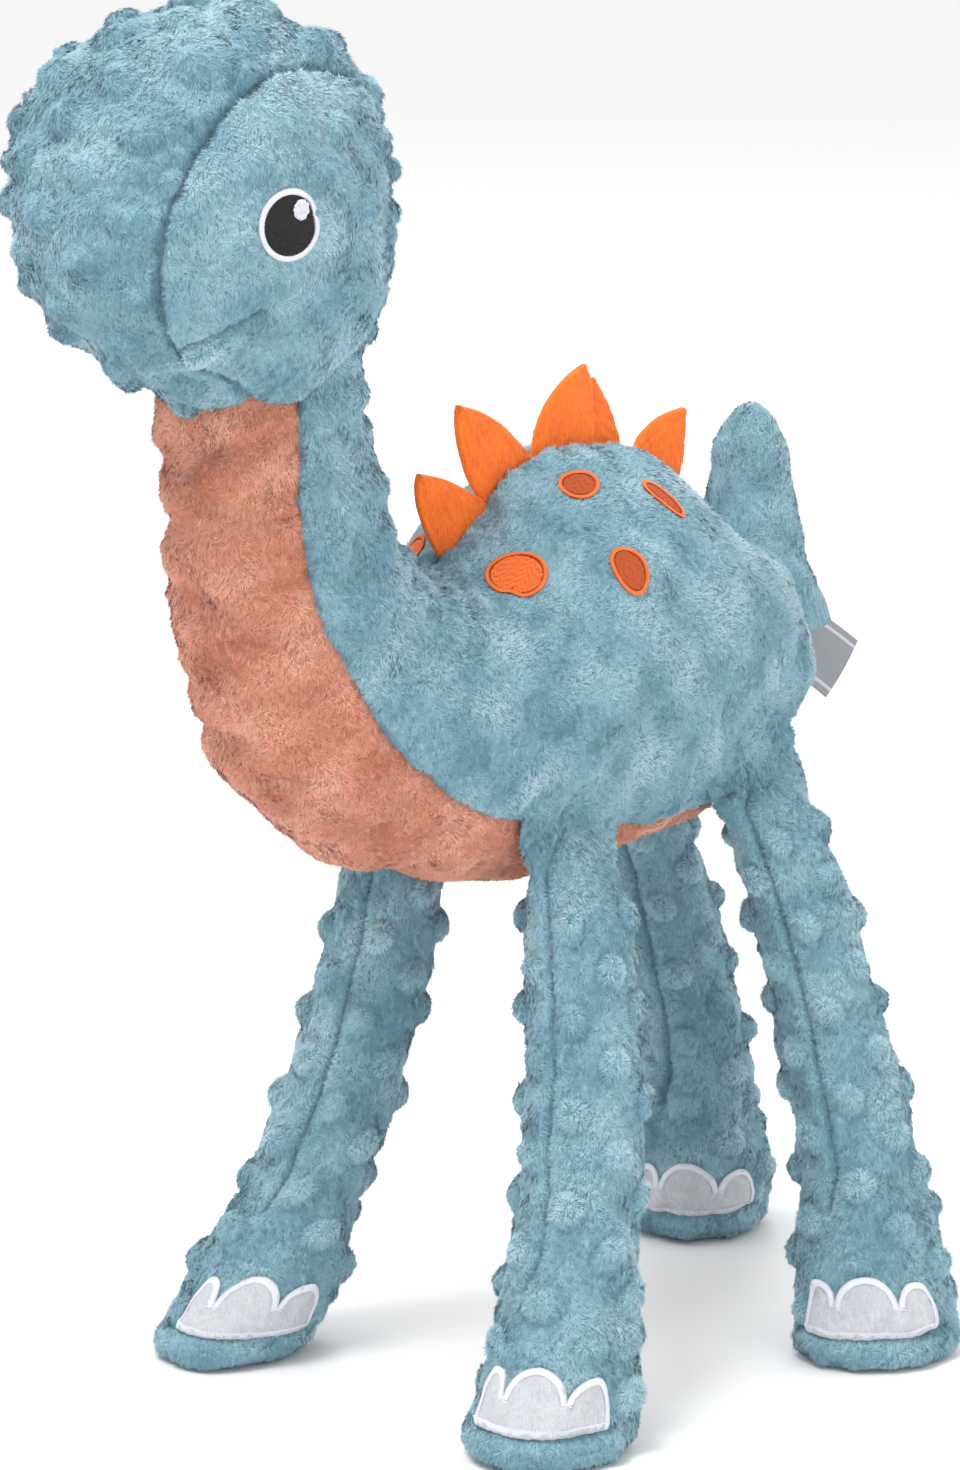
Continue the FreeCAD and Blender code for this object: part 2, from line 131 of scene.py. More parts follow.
def gridNormals(grid, closed=True):
    along = np.gradient(grid, axis=0)
    if closed:
        around = np.roll(grid, -1, 1) - np.roll(grid, 1, 1)
    else:
        around = np.gradient(grid, axis=1)
    normals = np.cross(around, along)
    return normals / np.maximum(np.linalg.norm(normals, axis=-1, keepdims=True), 1e-9)


def meshPiece(name, points, faces, material, smooth=True):
    faces = faces if isinstance(faces, list) else [faces]
    faces = [np.asarray(part) for part in faces if len(part)]
    mesh = bpy.data.meshes.new(name)
    mesh.vertices.add(len(points))
    mesh.vertices.foreach_set("co", (np.asarray(points, float) * mm).ravel().astype(np.float32))
    corners = np.concatenate([part.ravel() for part in faces]).astype(np.int32)
    sizes = np.concatenate([np.full(len(part), part.shape[1]) for part in faces])
    mesh.loops.add(len(corners))
    mesh.loops.foreach_set("vertex_index", corners)
    mesh.polygons.add(len(sizes))
    mesh.polygons.foreach_set("loop_start", (np.cumsum(sizes) - sizes).astype(np.int32))
    mesh.polygons.foreach_set("use_smooth", np.full(len(sizes), smooth))
    mesh.update(calc_edges=True)
    mesh.validate()
    for entry in (material if isinstance(material, (list, tuple)) else [material]):
        mesh.materials.append(entry)
    piece = bpy.data.objects.new(name, mesh)
    bpy.context.scene.collection.objects.link(piece)
    return piece


def quads(rows, columns, closed):
    i = np.arange(rows - 1)[:, None]
    j = np.arange(columns if closed else columns - 1)[None, :]
    a = i * columns + j
    b = i * columns + (j + 1) % columns
    return np.stack([a, b, b + columns, a + columns], -1).reshape(-1, 4)


def gridPiece(name, grid, material, closed=False):
    rows, columns = grid.shape[:2]
    return meshPiece(name, grid.reshape(-1, 3), quads(rows, columns, closed), material)


def bagFaces(rows, columns, ends=(True, True)):
    # faces of a closed tube, with a fan to one more point at each closed end
    j = np.arange(columns)
    fans, extra = [], rows * columns
    if ends[0]:
        fans.append(np.stack([np.full(columns, extra), (j + 1) % columns, j], 1))
        extra += 1
    if ends[1]:
        last = (rows - 1) * columns
        fans.append(np.stack([np.full(columns, extra), last + j, last + (j + 1) % columns], 1))
    return quads(rows, columns, True), np.concatenate(fans) if fans else np.empty((0, 3), int)


def swell(name, grid, pins, cloth):
    # fill a closed tube of cloth and give back its grid; no point may move further than the limit
    rows, columns = grid.shape[:2]
    points = np.concatenate([grid.reshape(-1, 3), grid[:1].mean(1), grid[-1:].mean(1)])
    sides, fans = bagFaces(rows, columns)
    bag = meshPiece(name, points, [sides, fans], [])
    group = bag.vertex_groups.new(name="pins")
    weights = np.append(pins.ravel(), [1, 1])
    for level in np.unique(weights):
        if level > 0:
            group.add([int(i) for i in np.nonzero(weights == level)[0]], float(level), "REPLACE")
    simulated = bag.modifiers.new("cloth", "CLOTH")
    settings = simulated.settings
    settings.vertex_group_mass = "pins"
    settings.use_pressure = True
    settings.uniform_pressure_force = cloth["pressure"]
    settings.shrink_min = -cloth["slack"]
    settings.quality = 5
    settings.mass = 0.2
    settings.tension_stiffness = 20
    settings.compression_stiffness = 12
    settings.shear_stiffness = 8
    settings.bending_stiffness = 0.4
    settings.effector_weights.gravity = 0
    simulated.collision_settings.use_collision = False
    simulated.point_cache.frame_start = 1
    simulated.point_cache.frame_end = 20
    for step in range(1, 21):
        bpy.context.scene.frame_set(step)
    shape = bag.evaluated_get(bpy.context.evaluated_depsgraph_get()).to_mesh()
    settled = np.empty(len(shape.vertices) * 3, np.float32)
    shape.vertices.foreach_get("co", settled)
    settled = settled.astype(float).reshape(-1, 3)[: rows * columns].reshape(grid.shape) / mm
    bpy.context.scene.frame_set(1)
    bpy.data.objects.remove(bag)
    move = settled - grid
    size = np.linalg.norm(move, axis=-1, keepdims=True)
    atLimit = float((size > cloth["limit"]).mean())
    print("swelled", name, round(float(size.mean()), 2), round(float(size.max()), 2),
          "held at the limit", round(atLimit, 2))
    return grid + move * np.minimum(1, cloth["limit"] / np.maximum(size, 1e-6))


def groove(distance, width, depth):
    return -depth * np.exp(-((distance / width) ** 2))


def dome(distance, radius, height):
    # a raised dot: round top and a soft foot
    near = np.clip(1 - (distance / radius) ** 2.6, 0, 1)
    return height * near ** 0.75


# materials
def principled(name, colour, rough, sheen=0.0, sheenTint=None):
    material = bpy.data.materials.new(name)
    material.use_nodes = True
    shader = material.node_tree.nodes["Principled BSDF"]
    shader.inputs["Base Color"].default_value = (*colour, 1)
    shader.inputs["Roughness"].default_value = rough
    shader.inputs["Specular IOR Level"].default_value = 0.25
    shader.inputs["Sheen Weight"].default_value = sheen
    shader.inputs["Sheen Roughness"].default_value = 0.5
    if sheenTint:
        shader.inputs["Sheen Tint"].default_value = (*sheenTint, 1)
    return material, shader


def clothMottle():
    # node group: a 0 to 1 mask of streaky patches, and a fine nap height
    group = bpy.data.node_groups.new("napPattern", "ShaderNodeTree")
    for name in ("patchScale", "napScale"):
        group.interface.new_socket(name, in_out="INPUT", socket_type="NodeSocketFloat")
    for name in ("patch", "nap"):
        group.interface.new_socket(name, in_out="OUTPUT", socket_type="NodeSocketFloat")
    nodes, links = group.nodes, group.links
    start, end = nodes.new("NodeGroupInput"), nodes.new("NodeGroupOutput")
    where = nodes.new("ShaderNodeTexCoord")
    patch, nap = nodes.new("ShaderNodeTexNoise"), nodes.new("ShaderNodeTexNoise")
    patch.inputs["Detail"].default_value = 5
    nap.inputs["Detail"].default_value = 3
    nap.inputs["Distortion"].default_value = 1.2
    stretch = nodes.new("ShaderNodeMapping")
    stretch.inputs["Scale"].default_value = (1, 1, 0.35)
    links.new(where.outputs["Object"], patch.inputs["Vector"])
    links.new(where.outputs["Object"], stretch.inputs["Vector"])
    links.new(stretch.outputs["Vector"], nap.inputs["Vector"])
    links.new(start.outputs["patchScale"], patch.inputs["Scale"])
    links.new(start.outputs["napScale"], nap.inputs["Scale"])
    links.new(patch.outputs["Fac"], end.inputs["patch"])
    links.new(nap.outputs["Fac"], end.inputs["nap"])
    return group


napPattern = clothMottle()


def patternedCloth(name, dark, light, rough=0.95, sheen=0.25, patchScale=70, napScale=900, bump=0.6):
    material, shader = principled(name, light, rough, sheen)
    nodes, links = material.node_tree.nodes, material.node_tree.links
    pattern = nodes.new("ShaderNodeGroup")
    pattern.node_tree = napPattern
    pattern.inputs["patchScale"].default_value = patchScale
    pattern.inputs["napScale"].default_value = napScale
    blend = nodes.new("ShaderNodeMath")
    blend.operation = "MULTIPLY_ADD"
    blend.inputs[1].default_value = 0.5
    ramp = nodes.new("ShaderNodeValToRGB")
    ramp.color_ramp.elements[0].position = 0.55
    ramp.color_ramp.elements[0].color = (*dark, 1)
    ramp.color_ramp.elements[1].position = 0.95
    ramp.color_ramp.elements[1].color = (*light, 1)
    relief = nodes.new("ShaderNodeBump")
    relief.inputs["Strength"].default_value = bump
    relief.inputs["Distance"].default_value = 0.0006
    links.new(pattern.outputs["patch"], blend.inputs[0])
    links.new(pattern.outputs["nap"], blend.inputs[2])
    links.new(blend.outputs[0], ramp.inputs["Fac"])
    links.new(ramp.outputs["Color"], shader.inputs["Base Color"])
    links.new(pattern.outputs["nap"], relief.inputs["Height"])
    links.new(relief.outputs["Normal"], shader.inputs["Normal"])
    return material


# five fibre tones of each pile, dark to light; tufts pick among them by random patches and by painted light
# and shade
colours = dict(
    blueShades=(
        (0.14, 0.29, 0.36), (0.19, 0.355, 0.435), (0.25, 0.425, 0.5), (0.33, 0.5, 0.57),
        (0.385, 0.55, 0.615),
    ),
    salmonShades=(
        (0.5, 0.17, 0.1), (0.58, 0.22, 0.135), (0.66, 0.28, 0.185), (0.73, 0.36, 0.25),
        (0.775, 0.42, 0.31),
    ),
)
bluePlush = patternedCloth("bluePlush", (0.08, 0.18, 0.23), (0.24, 0.41, 0.48))
salmonPlush = patternedCloth("salmonPlush", (0.3, 0.11, 0.07), (0.56, 0.28, 0.2))


def fibreShades(name, shades, sheen):
    return [principled(name + str(number), shade, 0.85, sheen)[0] for number, shade in enumerate(shades)]


blueFibre = fibreShades("blueFibre", colours["blueShades"], 0.3)
salmonFibre = fibreShades("salmonFibre", colours["salmonShades"], 0.25)


# short pile: one thin triangle for each tuft, leaning with the nap
pile = dict(
    perSquare=5.4, length=2.1, width=0.46, lift=0.42, clump=2.4, patch=22, seed=7, root=0.25,
    smooth=0.72,
)


def growPile(name, grid, nap, fibres, closed=False, keep=None, paintedLight=None, seed=0, amount=1.0):
    # plant tufts over a grid; nap is the way the pile is brushed at each grid point
    random = np.random.default_rng(pile["seed"] + seed)
    points = grid.reshape(-1, 3)
    faces = quads(*grid.shape[:2], closed)
    faces = np.concatenate([faces[:, [0, 1, 2]], faces[:, [0, 2, 3]]])
    normals = gridNormals(grid, closed).reshape(-1, 3)
    naps = nap.reshape(-1, 3)
    a, b, c = points[faces[:, 0]], points[faces[:, 1]], points[faces[:, 2]]
    areas = np.linalg.norm(np.cross(b - a, c - a), axis=1) / 2
    if keep is not None:
        areas = areas * keep.reshape(-1)[faces].min(1)
    total = int(areas.sum() * pile["perSquare"] * amount * (1))
    chosen = random.choice(len(faces), total, p=areas / areas.sum())
    u, v = random.random(total), random.random(total)
    flip = u + v > 1
    u[flip], v[flip] = 1 - u[flip], 1 - v[flip]
    weights = np.stack([1 - u - v, u, v], 1)[..., None]
    corner = faces[chosen]
    root = (points[corner] * weights).sum(1)
    normal = (normals[corner] * weights).sum(1)
    normal /= np.linalg.norm(normal, axis=1)[:, None]
    brush = (naps[corner] * weights).sum(1)
    brush -= normal * (brush * normal).sum(1)[:, None]
    brush /= np.maximum(np.linalg.norm(brush, axis=1), 1e-6)[:, None]
    side = np.cross(normal, brush)
    swirl = 0.5 * ripple(root, 13, 31) + 0.4 * ripple(root, pile["clump"], 32)
    swirl = swirl + 0.3 * random.normal(size=total)
    lean = brush * np.cos(swirl)[:, None] + side * np.sin(swirl)[:, None]
    unevenness = 0.35 * ripple(root, pile["clump"] * 1.3, 33)
    lift = pile["lift"] * (1 + unevenness + 0.25 * random.normal(size=total))
    tip = lean + normal * np.clip(lift, 0.12, 1.5)[:, None]
    tip /= np.linalg.norm(tip, axis=1)[:, None]
    reach = pile["length"] * random.uniform(0.6, 1.2, total)
    across = np.cross(tip, normal)
    across /= np.maximum(np.linalg.norm(across, axis=1), 1e-6)[:, None]
    across = across + 0.45 * random.normal(size=total)[:, None] * normal
    half = across * (pile["width"] / 2) * random.uniform(0.7, 1.3, total)[:, None]
    root = root - normal * pile["root"]
    corners = np.stack([root - half, root + half, root + tip * reach[:, None]], 1)
    facing = np.cross(corners[:, 1] - corners[:, 0], corners[:, 2] - corners[:, 0])
    turned = (facing * normal).sum(1) < 0
    corners[turned] = corners[turned][:, [1, 0, 2]]
    facing /= np.maximum(np.linalg.norm(facing, axis=1, keepdims=True), 1e-9)
    facing[turned] *= -1
    soft = normal * pile["smooth"] + facing * (1 - pile["smooth"])
    corners = corners.reshape(-1, 3)
    corners[:, 2] = np.maximum(corners[:, 2], 0.15)
    # shade picks one of the five fibre tones per tuft: random patches and speckle, painted light from above
    # (tufts on upward-facing cloth are lighter), and the painted light and shade handed in for each grid
    # point
    shade = 1.8 + 0.8 * ripple(root, pile["patch"], 41) + 0.3 * ripple(root, pile["clump"], 42)
    shade += 0.22 * random.normal(size=total) + 0.7 * normal[:, 2]
    if paintedLight is not None:
        shade += (paintedLight.reshape(-1)[corner] * weights[..., 0]).sum(1)
    piece = meshPiece(name, corners, np.arange(total * 3).reshape(-1, 3), fibres)
    soft = np.repeat(soft / np.linalg.norm(soft, axis=1, keepdims=True), 3, axis=0)
    piece.data.normals_split_custom_set_from_vertices(soft.astype(np.float32))
    piece.data.polygons.foreach_set("material_index", np.clip(np.round(shade), 0, 4).astype(np.int32))
    return piece


def refine(grid, finer, closedColumns=True):
    rows, columns = grid.shape[:2]
    grid = resample(grid, np.arange((rows - 1) * finer + 1) / finer)
    places = np.arange(columns * finer if closedColumns else (columns - 1) * finer + 1) / finer
    return np.swapaxes(resample(np.swapaxes(grid, 0, 1), places, closed=closedColumns), 0, 1)


def outwardNormals(grid, closed=True):
    normals = gridNormals(grid, closed)
    centre = grid.mean(1, keepdims=True)
    return normals * (1 if (normals * (grid - centre)).sum() > 0 else -1)


def endPins(shape, seams, axis, ends=2):
    # hold the seams of a bag, and its ends, while it is filled
    pins = np.zeros(shape)
    if axis == 1:
        pins[:, list(seams)] = 1
    else:
        pins[list(seams)] = 1
    pins[:ends] = 1
    pins[-ends:] = 1
    return pins


def pathDistance(grid, path):
    # how far each grid point lies from a line of points
    path = np.array(path, float)
    nearest = np.full(grid.shape[:2], 1e9)
    for start, end in zip(path[:-1], path[1:]):
        run = end - start
        share = np.clip(((grid - start) @ run) / (run @ run), 0, 1)
        nearest = np.minimum(nearest, np.linalg.norm(grid - start - share[..., None] * run, axis=-1))
    return nearest


def surfaceOf(*grids):
    # one search tree over several closed grids of points, in millimetres
    points, faces, start = [], [], 0
    for grid in grids:
        points.append(grid.reshape(-1, 3))
        faces.append(quads(*grid.shape[:2], True) + start)
        start += len(points[-1])
    return BVHTree.FromPolygons(np.concatenate(points).tolist(), np.concatenate(faces).tolist())


def layOn(tree, points, aim, depth=30):
    # push points along their aim onto a surface; gives the places and the outward normals
    laid, normals = [], []
    for point, way in zip(points, aim):
        start, way = Vector(point - way * depth), Vector(way)
        hit, normal, _, _ = tree.ray_cast(start, way, depth * 3)
        if hit is None:
            hit, normal, _, _ = tree.find_nearest(Vector(point))
        laid.append(hit)
        normals.append(-normal if normal.dot(way) > 0 else normal)
    return np.array(laid), np.array(normals)


def unit(vector):
    vector = np.array(vector, float)
    return vector / np.linalg.norm(vector)


# neck and body: one tube of stations (back point, belly point, half width, panel half width)
tube = dict(
    stations=(
        (-75, 380, -121, 378, 22, 20),
        (-73, 368, -125, 366, 26, 24.5),
        (-69, 345, -127, 341, 28.5, 26.5),
        (-67, 318, -129, 312, 30, 28),
        (-60, 294, -128, 286, 31.5, 28.5),
        (-52, 276, -125, 262, 34, 30),
        (-44, 266, -118, 233, 37, 34),
        (-37, 264, -102, 204, 44, 39.5),
        (-28, 267, -76, 183, 48, 41),
        (-14, 277, -44, 170, 50, 39),
        (2, 290, -14, 164, 51, 36),
        (20, 295, 16, 163, 51, 32),
        (40, 292.5, 46, 166, 49, 28.5),
        (60, 283.5, 72, 173, 46, 24),
        (80, 269, 94, 185, 40, 18),
        (98, 256, 110, 199, 29, 11),
        (112, 243, 119, 213, 14.5, 5),
        (117, 230, 118, 226, 3, 1),
    ),
    rows=100, belly=20, side=22, finer=3, cloth=dict(slack=0.05, pressure=3.0, limit=1.4),
    grooveDepth=2.2, grooveWidth=1.7, dotHeight=1.4, dotRadius=5.6, dotRow=14.5, dotStep=28.0,
    foldHeight=1.8,
)
# flank spots: place, size along and up, and a dent in the outline
spots = (
    dict(place=(28.3, -22, 264), along=9.6, up=9.2, turn=0, bite=1),
    dict(place=(44.1, 10, 262), along=6.0, up=8.0, turn=0, bite=0),
    dict(place=(22.8, 10.5, 288.5), along=6.9, up=5.6, turn=0, bite=0),
    dict(place=(31.5, 36.5, 279.5), along=8.4, up=3.3, turn=-58, bite=0),
)


def tubeGrid():
    table = resample(np.array(tube["stations"], float), np.linspace(0, len(tube["stations"]) - 1, 1200))
    middle = (table[:, 0:2] + table[:, 2:4]) / 2
    run = np.concatenate([[0], np.cumsum(np.linalg.norm(np.diff(middle, axis=0), axis=1))])
    table = resample(table, np.interp(np.linspace(0, run[-1], tube["rows"]), run, np.arange(1200)))
    belly, side = tube["belly"], tube["side"]
    grid = np.empty((len(table), belly + 2 * side, 3))
    for row, (backY, backZ, frontY, frontZ, half, panel) in enumerate(table):
        edge = math.asin(min(0.98, panel / half))
        angles = np.concatenate([
            np.linspace(-edge, edge, belly + 1)[:-1],
            np.linspace(edge, math.pi, side + 1)[:-1],
            np.linspace(math.pi, 2 * math.pi - edge, side + 1)[:-1],
        ])
        grid[row, :, 0] = half * np.sin(angles)
        grid[row, :, 1] = (backY + frontY) / 2 + (frontY - backY) / 2 * np.cos(angles)
        grid[row, :, 2] = (backZ + frontZ) / 2 + (frontZ - backZ) / 2 * np.cos(angles)
    return grid


bodySeams = (0, tube["belly"], tube["belly"] + tube["side"])
bodyGrid = tubeGrid()
bodyGrid = swell("bodyBag", bodyGrid, endPins(bodyGrid.shape[:2], bodySeams, 1), tube["cloth"])
finer = tube["finer"]
bodyGrid = refine(bodyGrid, finer)
bodySmooth = outwardNormals(bodyGrid)
rowRun = np.concatenate([[0], np.cumsum(np.linalg.norm(np.diff(bodyGrid.mean(1), axis=0), axis=1))])[:, None]
aroundStep = np.linalg.norm(np.roll(bodyGrid, -1, 1) - bodyGrid, axis=-1)
aroundRun = np.cumsum(aroundStep, axis=1) - aroundStep
girth = aroundStep.sum(1, keepdims=True)


def seamDistance(column):
    gap = np.abs(aroundRun - aroundRun[:, column * finer][:, None])
    return np.minimum(gap, girth - gap)


def latticeGap(along, across, row, step, shift=0.0):
    # distance to the nearest dot of the plush, whose rows are staggered by half a step
    ring = np.round(along / row)
    lane = (across + (ring % 2) * step / 2 + shift) % step - step / 2
    return np.hypot(lane, along - ring * row)


def formBody():
    seamGap = np.minimum.reduce([seamDistance(column) for column in bodySeams])
    onPanel = np.zeros(bodyGrid.shape[:2], bool)
    onPanel[:, : tube["belly"] * finer + 1] = True
    backGap = seamDistance(bodySeams[2])
    height = groove(seamGap, tube["grooveWidth"], tube["grooveDepth"])
    height += groove(backGap, 2.0, 0.6) * (ripple(bodyGrid, 40, 2) > -0.5)
    dots = latticeGap(rowRun + 3, backGap, tube["dotRow"], tube["dotStep"], 7)
    strength = np.clip(0.55 + 0.5 * ripple(bodyGrid, 55, 3), 0.1, 1.1)
    upNeck = np.clip((bodyGrid[..., 2] - 270) / 50, 0, 1) * (bodyGrid[..., 1] < -30)
    sign = np.where(upNeck > 0.3, 1.4, -0.9)
    dotShape = np.where(onPanel, 0, dome(dots, tube["dotRadius"], tube["dotHeight"]) * strength * sign)
    height += dotShape
    # folds across the salmon front, strongest at the bend of the neck
    wave = np.sin(2 * np.pi * (rowRun / 19 + 0.3 * ripple(bodyGrid, 80, 5)))
    wave = wave + 0.6 * ripple(bodyGrid * [0.3, 1, 1], 11, 6)
    bend = np.exp(-(((rowRun - 130) / 75) ** 2))
    nearSeam = 1 - 0.4 * np.exp(-((seamGap / 9) ** 2))
    height += tube["foldHeight"] * bend * wave * np.where(onPanel, 0.8, 0.45) * nearSeam
    # puckers pulled into the seams
    pucker = np.sin(2 * np.pi * (rowRun / 8.5 + 0.4 * ripple(bodyGrid, 25, 8)))
    height += 0.5 * pucker * np.exp(-((seamGap / 7) ** 2))
    height += 0.7 * ripple(bodyGrid, 36, 9) + 0.25 * ripple(bodyGrid, 14, 10)
    # painted light: raised dots up the neck lighter, painted shade in the dents of the flank dots and along
    # the seam grooves
    paintedLight = dotShape * np.where(sign > 0, 0.5, 1.1) - 1.4 * np.exp(-((seamGap / 1.2) ** 2))
    return height, paintedLight, np.clip(seamGap / 1.4, 0.3, 1)


def spotBacking(grid, place):
    # the stiff backing of an embroidered spot holds the cloth to one smooth curve
    offset = grid - place
    near = np.linalg.norm(offset, axis=-1)
    out = unit(bodySmooth[near < 10].mean(0))
    along = unit(np.array((0, 1, 0)) - out * out[1])
    up = np.cross(along, out)
    a, b, rise = offset @ along, offset @ up, offset @ out
    ring = np.hypot(a, b)
    part = (ring < 14) & (np.abs(rise) < 12)
    terms = np.stack([np.ones_like(a), a, b, a * a, a * b, b * b], -1)
    fit, _, _, _ = np.linalg.lstsq(terms[part], rise[part], rcond=None)
    hold = np.clip((16 - ring) / 5, 0, 1) * (np.abs(rise) < 14)
    return grid + out * (hold * (terms @ fit - rise))[..., None]


bodyHeight, bodyPaintedLight, bodyThin = formBody()
bodyGrid = bodyGrid + bodySmooth * bodyHeight[..., None]
# the far flank sags a little beside the first spikes
sag = np.clip(-bodyGrid[..., 0] / 14, 0, 1) * np.clip((bodyGrid[..., 2] - 235) / 25, 0, 1)
bodyGrid[..., 2] -= 6.5 * sag * np.exp(-(((bodyGrid[..., 1] + 22) / 26) ** 2))
for side in (1, -1):
    for spot in spots:
        bodyGrid = spotBacking(bodyGrid, np.array(spot["place"]) * (side, 1, 1))
bodyNormals = outwardNormals(bodyGrid)
bodyTree = surfaceOf(bodyGrid)
print("body formed", bodyGrid.shape)


def spotFrame(spot, side):
    # centre, outward, along and up of an embroidered spot on one flank
    place = Vector((spot["place"][0] * side, *spot["place"][1:]))
    hit, _, _, _ = bodyTree.find_nearest(place)
    near = np.linalg.norm(bodyGrid - np.array(hit), axis=-1) < 9
    out = unit(bodyNormals[near].mean(0))
    along = unit(np.array((0, 1, 0)) - out * out[1])
    up = np.cross(along, out)
    up = up if up[2] > 0 else -up
    angle = math.radians(spot["turn"])
    turnedAlong = along * math.cos(angle) + up * math.sin(angle)
    turnedUp = up * math.cos(angle) - along * math.sin(angle)
    return np.array(hit), out, turnedAlong, turnedUp


def spotEdge(spot, angles):
    # outline radius factors of a spot; one has a small bite at its lower front
    edge = 1 + 0.03 * np.sin(3 * angles + 1)
    if spot["bite"]:
        edge -= 0.16 * np.exp(-(((angles - 3.85) / 0.3) ** 2))
    return edge


def spotCover(grid):
    # 1 where the pile grows, 0 under the embroidery
    keep = np.ones(grid.shape[:2])
    for side in (1, -1):
        for spot in spots:
            centre, out, along, up = spotFrame(spot, side)
            offset = grid - centre
            a, b = offset @ along / spot["along"], offset @ up / spot["up"]
            inside = np.hypot(a, b) < spotEdge(spot, np.arctan2(b, a) % (2 * np.pi)) * 0.95
            keep[inside & (np.abs(offset @ out) < 8)] = 0
    return keep


bodyKeep = spotCover(bodyGrid) * bodyThin


def bodyPanel(name, first, last, base, fibres, nodes, seed):
    index = np.arange(first * finer, last * finer + 1) % bodyGrid.shape[1]
    grid = bodyGrid[:, index]
    aligned = (gridNormals(grid, False) * bodyNormals[:, index]).sum() > 0
    order = index if aligned else index[::-1]
    grid = bodyGrid[:, order]
    skin = gridPiece(name, grid, base)
    nap = np.gradient(grid, axis=0)
    nap = nap / np.linalg.norm(nap, axis=-1, keepdims=True)
    nap = nap + 1.5 * (bodyNormals - bodySmooth)[:, order] + np.array((0, 0, -0.5))
    tufts = growPile(
        name + "Pile", grid, nap, fibres, keep=bodyKeep[:, order], paintedLight=bodyPaintedLight[:, order], seed=seed,
        amount=0.9,
    )
    for part in (skin, tufts):
        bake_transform(part)
    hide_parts(*nodes)
    print(name, len(skin.data.polygons), len(tufts.data.polygons))


leftFrom, rightFrom = tube["belly"], tube["belly"] + tube["side"]
rightTo = rightFrom + tube["side"]
bodyPanel(
    "frontPanel", 0, leftFrom, salmonPlush, salmonFibre,
    ("belly_cover", "neck_front_cover"), 1,
)
bodyPanel(
    "leftPanel", leftFrom, rightFrom, bluePlush, blueFibre,
    ("torso_left_cover", "neck_left_cover", "torso_stuffing", "neck_stuffing", "squeaker_bulb",
     "squeaker_reed"), 2,
)
bodyPanel(
    "rightPanel", rightFrom, rightTo, bluePlush, blueFibre,
    ("torso_right_cover", "neck_right_cover"), 3,
)


# head: a ball of two cheeks and a middle gusset, wound round an axis from cheek to cheek
head = dict(
    centre=(0, -122, 384), half=(50, 59, 56), cheekRows=18, gussetRows=28, columns=64, finer=3,
    seam=(
        (-90, 22), (-61, 23), (-46, 25.6), (-30, 29), (-8, 33.1), (12, 36.7), (35, 38), (72, 37.5),
        (98, 34), (140, 31), (180, 30), (225, 26),
    ),
    cloth=dict(slack=0.04, pressure=3.0, limit=1.0), dotHeight=3.8, dotRadius=5.8, dotRow=14.2, dotStep=28.0,
    wellRadius=29.0, well=(0, -98), wellTop=384, chinAngle=-36, collar=12.0,
)
cheekDots = (
    (45.6, -141, 398.5, 1.1), (44.9, -110, 406, 1.6), (49.3, -119.5, 393, 1.0), (44.9, -146, 374.6, 1.2),
    (43.8, -141.5, 364, 0.9), (46.7, -129, 364.6, 1.2), (39, -132, 350, 1.4), (38, -84, 400, 1.8),
    (36, -80, 372, 1.6),
    (43, -100, 362, 1.5), (31, -92, 421, 1.8), (47, -98, 384, 1.4),
)
mouth = ((27.3, -152, 346), (33.8, -146, 349), (40.9, -137, 355))
eyeSpot = dict(
    place=(49.2, -131.7, 381), out=(0.985, -0.16, -0.03), radius=10.3, rim=1.5, glint=(3.4, 4.2),
    glintRadius=3.1,
)


def headGrid():
    columns, cheek, gusset = head["columns"], head["cheekRows"], head["gussetRows"]
    table = np.array(head["seam"], float)
    wrapped = np.concatenate([table - [360, 0], table, table + [360, 0]])
    turn = np.arange(columns) * 360 / columns - 90
    seamHalf = np.interp(turn, wrapped[:, 0], wrapped[:, 1])
    seamHalf = (np.roll(seamHalf, 1) + seamHalf * 2 + np.roll(seamHalf, -1)) / 4
    seamAngle = np.arccos(seamHalf / head["half"][0])
    turn = np.radians(turn)
    share = np.concatenate([
        np.linspace(0.03, 1, cheek + 1)[:-1],
        1 + np.linspace(0, 1, gusset + 1)[:-1],
        2 + np.linspace(0, 0.97, cheek + 1),
    ])[:, None]
    theta = np.where(share < 1, seamAngle * share, np.where(
        share < 2, seamAngle + (np.pi - 2 * seamAngle) * (share - 1), np.pi - seamAngle * (3 - share)))
    x = head["half"][0] * np.cos(theta)
    y = -head["half"][1] * np.sin(theta) * np.cos(turn)
    z = head["half"][2] * np.sin(theta) * np.sin(turn)
    return np.stack([x, y, z], -1) + np.array(head["centre"])


headBall = headGrid()
headSeams = (head["cheekRows"], head["cheekRows"] + head["gussetRows"])
headBall = swell("headBag", headBall, endPins(headBall.shape[:2], headSeams, 0, 1), head["cloth"])
headFiner = head["finer"]
headBall = refine(headBall, headFiner)
headSmooth = outwardNormals(headBall)


